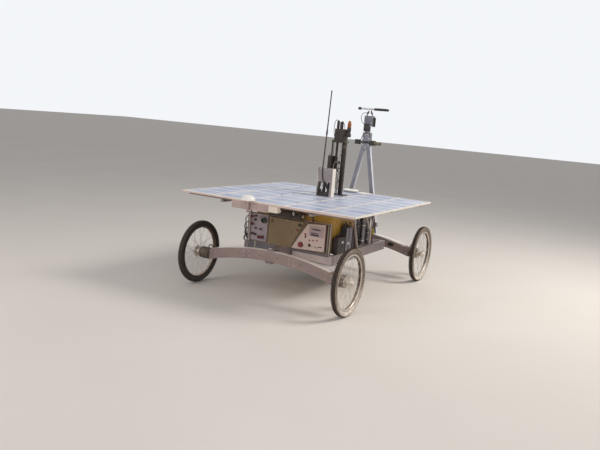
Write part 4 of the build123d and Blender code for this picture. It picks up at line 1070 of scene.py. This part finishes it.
def mast_head():
    """The turning head's drum and box, its lugs, bolts and cable."""
    drum = Piece("pan_drum", "head_grey", "camera_dark", "mast_pan")
    drum.solid((-18, 1015, 1610.3), UP, [
        (0, 33.5), (4, 33.5), (6, 31.5), (12, 31.5), (14, 33.8), (60, 33.8), (64, 31.5),
        (70, 31.5), (72, 33.8), (89.5, 33.8)], 44)
    drum.rod((0, 1021, 1610.3), (0, 1021, 1670), 30, sides=36)
    drum.boxes((53, 70, 1019, 1061, 1668, 1775), (56, 70, 1024, 1056, 1675, 1768))
    made = drum.made(1.2)
    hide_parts("pan_unit")
    box = Piece("pan_box", "head_grey", body="mast_pan")
    box.boxes((-55, 53, 1011, 1071, 1672, 1792), (-50, 48, 1009.5, 1012, 1706, 1786))
    lug = [(1029, 1790), (1053, 1790)]
    for angle in range(0, 181, 20):
        lug.append((1041 + 12 * cos(radians(angle)), 1822 + 12 * sin(radians(angle))))
    for low in (-40, 24):
        box.grid([[(x, y, z) for y, z in lug] for x in (low, low + 8)])
    box.made(1.5)
    trim = Piece("pan_bolts", "head_grey", "bolt_steel", "mast_pan")
    trim.screws(1009.8, 3.4, *[(x, z) for x in (-45, 43) for z in (1712, 1780)])
    trim.bolts(AHEAD, 3.4, [(x, 1071, z) for x in (-45, 43) for z in (1692, 1760)], 2)
    for x, out in ((-40, -1), (32, 1)):
        trim.bolts((out, 0, 0), 6, [(x, 1041, 1822)], 3)
    trim.made()
    cable = Piece("head_cable", "cable_black", body="mast_pan")
    cable.tube(3.2, (-44, 1041, 1822), (-66, 1038, 1823), (-90, 1036, 1812), (-104, 1034, 1785),
               (-103, 1034, 1750), (-90, 1034, 1718), (-70, 1036, 1700), (-52, 1038, 1697))
    cable.tube(3, (60, 1062, 1700), (62, 1074, 1700), (50, 1079, 1715), (30, 1076, 1740),
               (20, 1070, 1745))
    cable.made()


def camera_bar():
    """Rings, lenses, the pale painted-highlight sleeve and the cradle of the tilting bar."""
    y, z = 1041, 1870
    cams = Piece("camera_bar_fittings", "camera_dark", body="mast_tilt")
    for x in (-149, -128, 60, 110, 160, 205):
        radius = 15 if x < 0 else 14
        cams.band((x, y, z), RIGHT, radius - 1, radius + 0.5, 5, 32)
    cams.boxes((100, 190, y - 9, y + 9, z + 12.5, z + 15))
    cams.made(0.5)
    ends = Piece("camera_bar_lenses", "camera_dark", "lens_glass", "mast_tilt")
    for x, out, radius in ((-151.5, -1, 11), (221.5, 1, 10)):
        ends.solid((x, y, z), (out, 0, 0), [(-2, radius), (0.4, radius), (0.5, radius - 3)], 28)
    ends.made()
    # The sleeve's pale colour is a painted highlight for the bar's sunlit middle.
    middle = Piece("camera_bar_sleeve", "camera_dark", "mast_pale", "mast_tilt")
    middle.turn((-116.5, y, z), RIGHT, [
        (0, 7), (0, 9.2), (52, 9.2), (54, 10.4), (74, 10.4), (76, 9.2), (118, 9.2), (120, 10.4),
        (134, 10.4), (136, 9.2), (165, 9.2), (165, 7)], 32)
    middle.made()
    cradle = Piece("camera_bar_cradle", "camera_dark", "bolt_steel", "mast_tilt")
    for x in (-26.5, 7.5):
        cradle.boxes((x, x + 11, y - 7.5, y + 7.5, z - 20, z - 6))
    cradle.made(0.6)


mast_legs()
mast_head()
camera_bar()


# Right and left sides

def batteries():
    """Leads, terminals, straps, ribs and labels of the batteries on both sides."""
    dark = Piece("battery_leads", "cable_black", both=True)
    dark.boxes((495, 497.4, -552, -408, 452, 592), (430.5, 496.5, -502, -486, 445.5, 601.2),
               (430.5, 496.5, -328, -318, 445.5, 694.2), (430.5, 457, -98, -82, 445.5, 621.2))
    dark.tube(5.5, (464, -545, 592), (476, -535, 630), (474, -490, 650), (464, -440, 630),
              (464, -430, 603))
    dark.tube(5.5, (456, -420, 602), (464, -408, 660), (468, -380, 722), (464, -350, 735),
              (464, -330, 695))
    dark.tube(5, (464, -300, 694), (474, -270, 730), (476, -235, 640), (476, -200, 500),
              (464, -185, 447))
    dark.tube(5.5, (444, -130, 621), (446, -100, 660), (446, -40, 650), (444, 0, 600),
              (430, 30, 560))
    for x, y, z in ((454, -520, 599), (454, -455, 599), (454, -360, 692), (454, -300, 692),
                    (444, -130, 619), (444, -70, 619)):
        dark.solid((x, y, z), UP, [(0, 10), (14, 10), (16, 7), (22, 7)], 20)
    dark.made(0.8)
    ribs = Piece("battery_ribs", "battery_case", "battery_pale", both=True)
    ribs.boxes(*[(495.5, 497.5, 19 * k - 384, 19 * k - 377, 462, 680) for k in (0, 1, 2, 4, 5, 6)])
    ribs.made(0.6)
    tips = Piece("battery_tips", "battery_case", "label_white", both=True)
    tips.boxes((495.8, 498, -478, -444, 545, 567), (495.8, 498, -345, -311, 520, 542))
    tips.made(0.4)


def bottles():
    """Valves, straps and hoses of the bottles, and the valve on its stand beside them."""
    valves = Piece("bottle_valves", "bottle_silver", "bolt_steel")
    for x, y, r, top in ((410, 205, 26, 691), (350, 215, 22, 671), (415, 330, 20, 601)):
        valves.solid((x, y, top - 1), UP, [(0, r * 0.55), (6, r * 0.5), (8, 6), (22, 6), (22, 10),
                                           (30, 10), (32, 6)], 24)
        for z in (480, top - 50):
            valves.band((x, y, z), UP, r - 1, r + 1.2, 10, 36)
    valves.tube(4, (410, 205, 716), (424, 215, 735), (440, 245, 730), (440, 300, 690),
                (425, 330, 645), (415, 330, 626))
    valves.tube(3.6, (350, 215, 696), (330, 220, 720), (290, 240, 700), (250, 330, 690),
                (250, 410, 690))
    valves.made()
    x, y = 470, 335
    valve = Piece("side_valve", "bottle_silver", "valve_yellow")
    valve.solid((x, y, 545), UP, [(0, 14), (4, 16), (22, 16), (26, 11), (60, 11), (62, 9)], 28)
    valve.rod((x - 18, y, 570), (x + 18, y, 570), 9)
    valve.made()
    stand = Piece("side_valve_stand", "drive_metal")
    stand.solid((x, y, 445.5), UP, [(0, 18), (6, 18), (8, 10), (85, 10), (87, 14.5),
                                    (100, 14.5)], 24)
    stand.solid((x, y, 606.5), UP, [(0, 11), (18, 12), (20, 9)], 20)
    stand.tube(4.8, (x, y, 624), (468, 345, 660), (460, 380, 680), (452, 420, 650),
               (440, 440, 600), (400, 440, 560), (378, 440, 555))
    stand.made()


def instruments():
    """Lids and catches of the instrument cases."""
    lids = Piece("instrument_lids", "instrument_dark")
    for x0, x1, y0, y1, z in ((-442, -168, 18, 192, 701), (-442, -188, 208, 562, 651),
                              (148, 382, 18, 152, 721), (-162, 332, 398, 592, 691)):
        lids.boxes((x0, x1, y0, y1, z - 30, z - 26),
                   (x0 + 20, x1 - 20, y0 + 20, y1 - 20, z - 1, z + 3))
    lids.made(1)
    catches = Piece("instrument_catches", "instrument_dark", "bolt_steel")
    for x, y, z in ((-380, 14.5, 655), (-380, 559.5, 605), (-240, 14.5, 655), (-240, 559.5, 605),
                    (0, 589.5, 645), (200, 589.5, 645)):
        catches.boxes((x - 12, x + 12, y, y + 6, z, z + 35))
    catches.boxes((379.5, 385.5, 60, 84, 670, 710))
    catches.made(0.8)


batteries()
bottles()
instruments()


# Frame fastenings and the clutter over the bulkhead

def frame_details():
    """Bolts of the frame, a tray, leads and ties over the bulkhead, the left end's harness."""
    bolts = Piece("frame_bolts", "frame_metal", "bolt_steel")
    for side in (-1, 1):
        out = (side, 0, 0)
        bolts.bolts(out, 4.8, [(side * 500, y, z) for y in (-600, -300, -30, 30, 300, 600)
                               for z in (372, 424)])
        bolts.bolts(UP, 4.8, [(side * 480, y, 445) for y in (-620, 620)])
        bolts.bolts(out, 4.2, [(side * 479, 270, 590), (side * 479, -48, 458)])
    bolts.bolts(REARWARD, 6, [(-68, -650, 405)])
    bolts.bolts(REARWARD, 4.8, [(x, -650, z) for x in (-440, -200) for z in (370, 426)])
    bolts.made()
    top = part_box("service_wall")[1].z * 1000
    boxed("bulkhead_tray", "wall_metal", "instrument_dark", 2,
          (-215, -90, -668, -660, top - 46, top - 10), (40, 122, -668, -660, top - 44, top - 14))
    # A dark strip above the plate: painted shade where the rail lies in shadow.
    boxed("rear_rail_painted_shade_strip", "frame_metal", "rail_shade", 0.8, (58.5, 456, -655, -649.8, 424, 439.2))
    leads = Piece("bulkhead_leads", "cable_black")
    low = top - 50
    for start, end, lift, y in ((-200, -60, 62, -652), (-150, 20, 70, -655), (-50, 90, 60, -658),
                                (10, 170, 66, -652), (80, 260, 50, -655)):
        leads.tube(5.2, (start, y + 4, low + 48), (start + 10, y, low + lift),
                   ((start + end) / 2, y - 4, low + lift + 12), (end - 10, y, low + lift - 6),
                   (end, y - 4, low + 30), (end, y - 2, low + 2))
    leads.made()
    ties = Piece("bulkhead_ties", "wall_metal", "label_white")
    for x, z in ((-105, -14), (36, -6), (46, -18), (145, -28)):
        ties.rod((x, -668, top + z), (x + 10, -666, top + z + 26), 4.2, sides=12)
    ties.made()
    harness = Piece("left_harness", "cable_black")
    for k in range(4):
        x, y, z = -462 - 6 * (k % 2), -668 - 6 * k, 700 - 60 * k
        harness.tube(4.6, (-440, -690, z), (-452, -702, z - 6), (x - 8, -700, z - 35),
                     (x - 10, -690, z - 70), (x - 6, y, 500), (x, -656, 462), (x + 6, -640, 445.5))
    harness.made()


frame_details()


# Camera, light and floor, in metres

def camera():
    """The photograph's camera: place, turn, tilt and roll."""
    yaw, pitch, roll = radians(28.366), radians(8.996), radians(5.067)
    eye = (3.128, -6.223, 1.688)
    focal_pixels, picture_width, sensor_width = 668.3, 600, 36.0
    ahead = Vector((-sin(yaw) * cos(pitch), cos(yaw) * cos(pitch), -sin(pitch)))
    right = Vector((cos(yaw), sin(yaw), 0))
    up = right.cross(ahead)
    across = right * cos(roll) + up * sin(roll)
    upward = up * cos(roll) - right * sin(roll)
    data = bpy.data.cameras.new("camera")
    data.sensor_width = sensor_width
    data.lens = focal_pixels / picture_width * sensor_width
    data.clip_start, data.clip_end = 0.05, 200
    made = bpy.data.objects.new("camera", data)
    turn = Matrix((across, upward, -ahead)).transposed().to_4x4()
    made.matrix_world = Matrix.Translation(eye) @ turn
    bpy.context.scene.collection.objects.link(made)
    bpy.context.scene.camera = made


def lamp(name, place, size, power, colour=(1, 1, 1)):
    """A round lamp that shines at the rover's middle."""
    target = Vector((0, 0, 0.6))
    data = bpy.data.lights.new(name, "AREA")
    data.shape, data.size, data.energy, data.color = "DISK", size, power, colour
    made = bpy.data.objects.new(name, data)
    made.location = place
    made.rotation_euler = (target - Vector(place)).to_track_quat("-Z", "Y").to_euler()
    bpy.context.scene.collection.objects.link(made)


def world():
    """Soft even light, and a pale backdrop where the camera and gloss look past the floor."""
    made = bpy.data.worlds.new("studio")
    bpy.context.scene.world = made
    made.use_nodes = True
    add, link = made.node_tree.nodes.new, made.node_tree.links.new
    made.node_tree.nodes.clear()
    out, mix = add("ShaderNodeOutputWorld"), add("ShaderNodeMixShader")
    for place, colour, strength in ((1, (0.95, 0.97, 1.0, 1), 0.37), (2, (0.90, 0.92, 0.95, 1), 1)):
        background = add("ShaderNodeBackground")
        background.inputs[0].default_value = colour
        background.inputs[1].default_value = strength
        link(background.outputs[0], mix.inputs[place])
    path = add("ShaderNodeLightPath")
    any_ray = path.outputs["Is Camera Ray"]
    for name in ("Is Glossy Ray", "Is Transmission Ray"):
        either = add("ShaderNodeMath")
        either.operation = "MAXIMUM"
        link(any_ray, either.inputs[0])
        link(path.outputs[name], either.inputs[1])
        any_ray = either.outputs[0]
    link(any_ray, mix.inputs[0])
    link(mix.outputs[0], out.inputs[0])


def floor():
    """A wide matt floor, for renders only."""
    reach = 60
    mesh = bpy.data.meshes.new("floor")
    mesh.from_pydata([(reach * x, reach * y, 0) for x, y in CORNERS], [], [(0, 1, 2, 3)])
    made = bpy.data.objects.new("floor", mesh)
    s = Shade("floor", 0.9)
    base = s.mix(s.noise(0.8, 5.0), tone(222, 214, 206), tone(232, 225, 218))
    mesh.materials.append(s.done(base, 0.9, s.bump(s.noise(180.0), 0.1, 0.001)))
    bpy.context.scene.collection.objects.link(made)


camera()
world()
floor()
lamp("key", (4.5, 2.2, 5.5), 2.6, 310, (1.0, 0.97, 0.92))
lamp("fill", (-3.5, -6.0, 3.6), 4.0, 104, (1.0, 0.96, 0.93))
lamp("front", (3.4, -6.4, 3.0), 4.0, 64)
bpy.context.scene.view_settings.view_transform = "Standard"
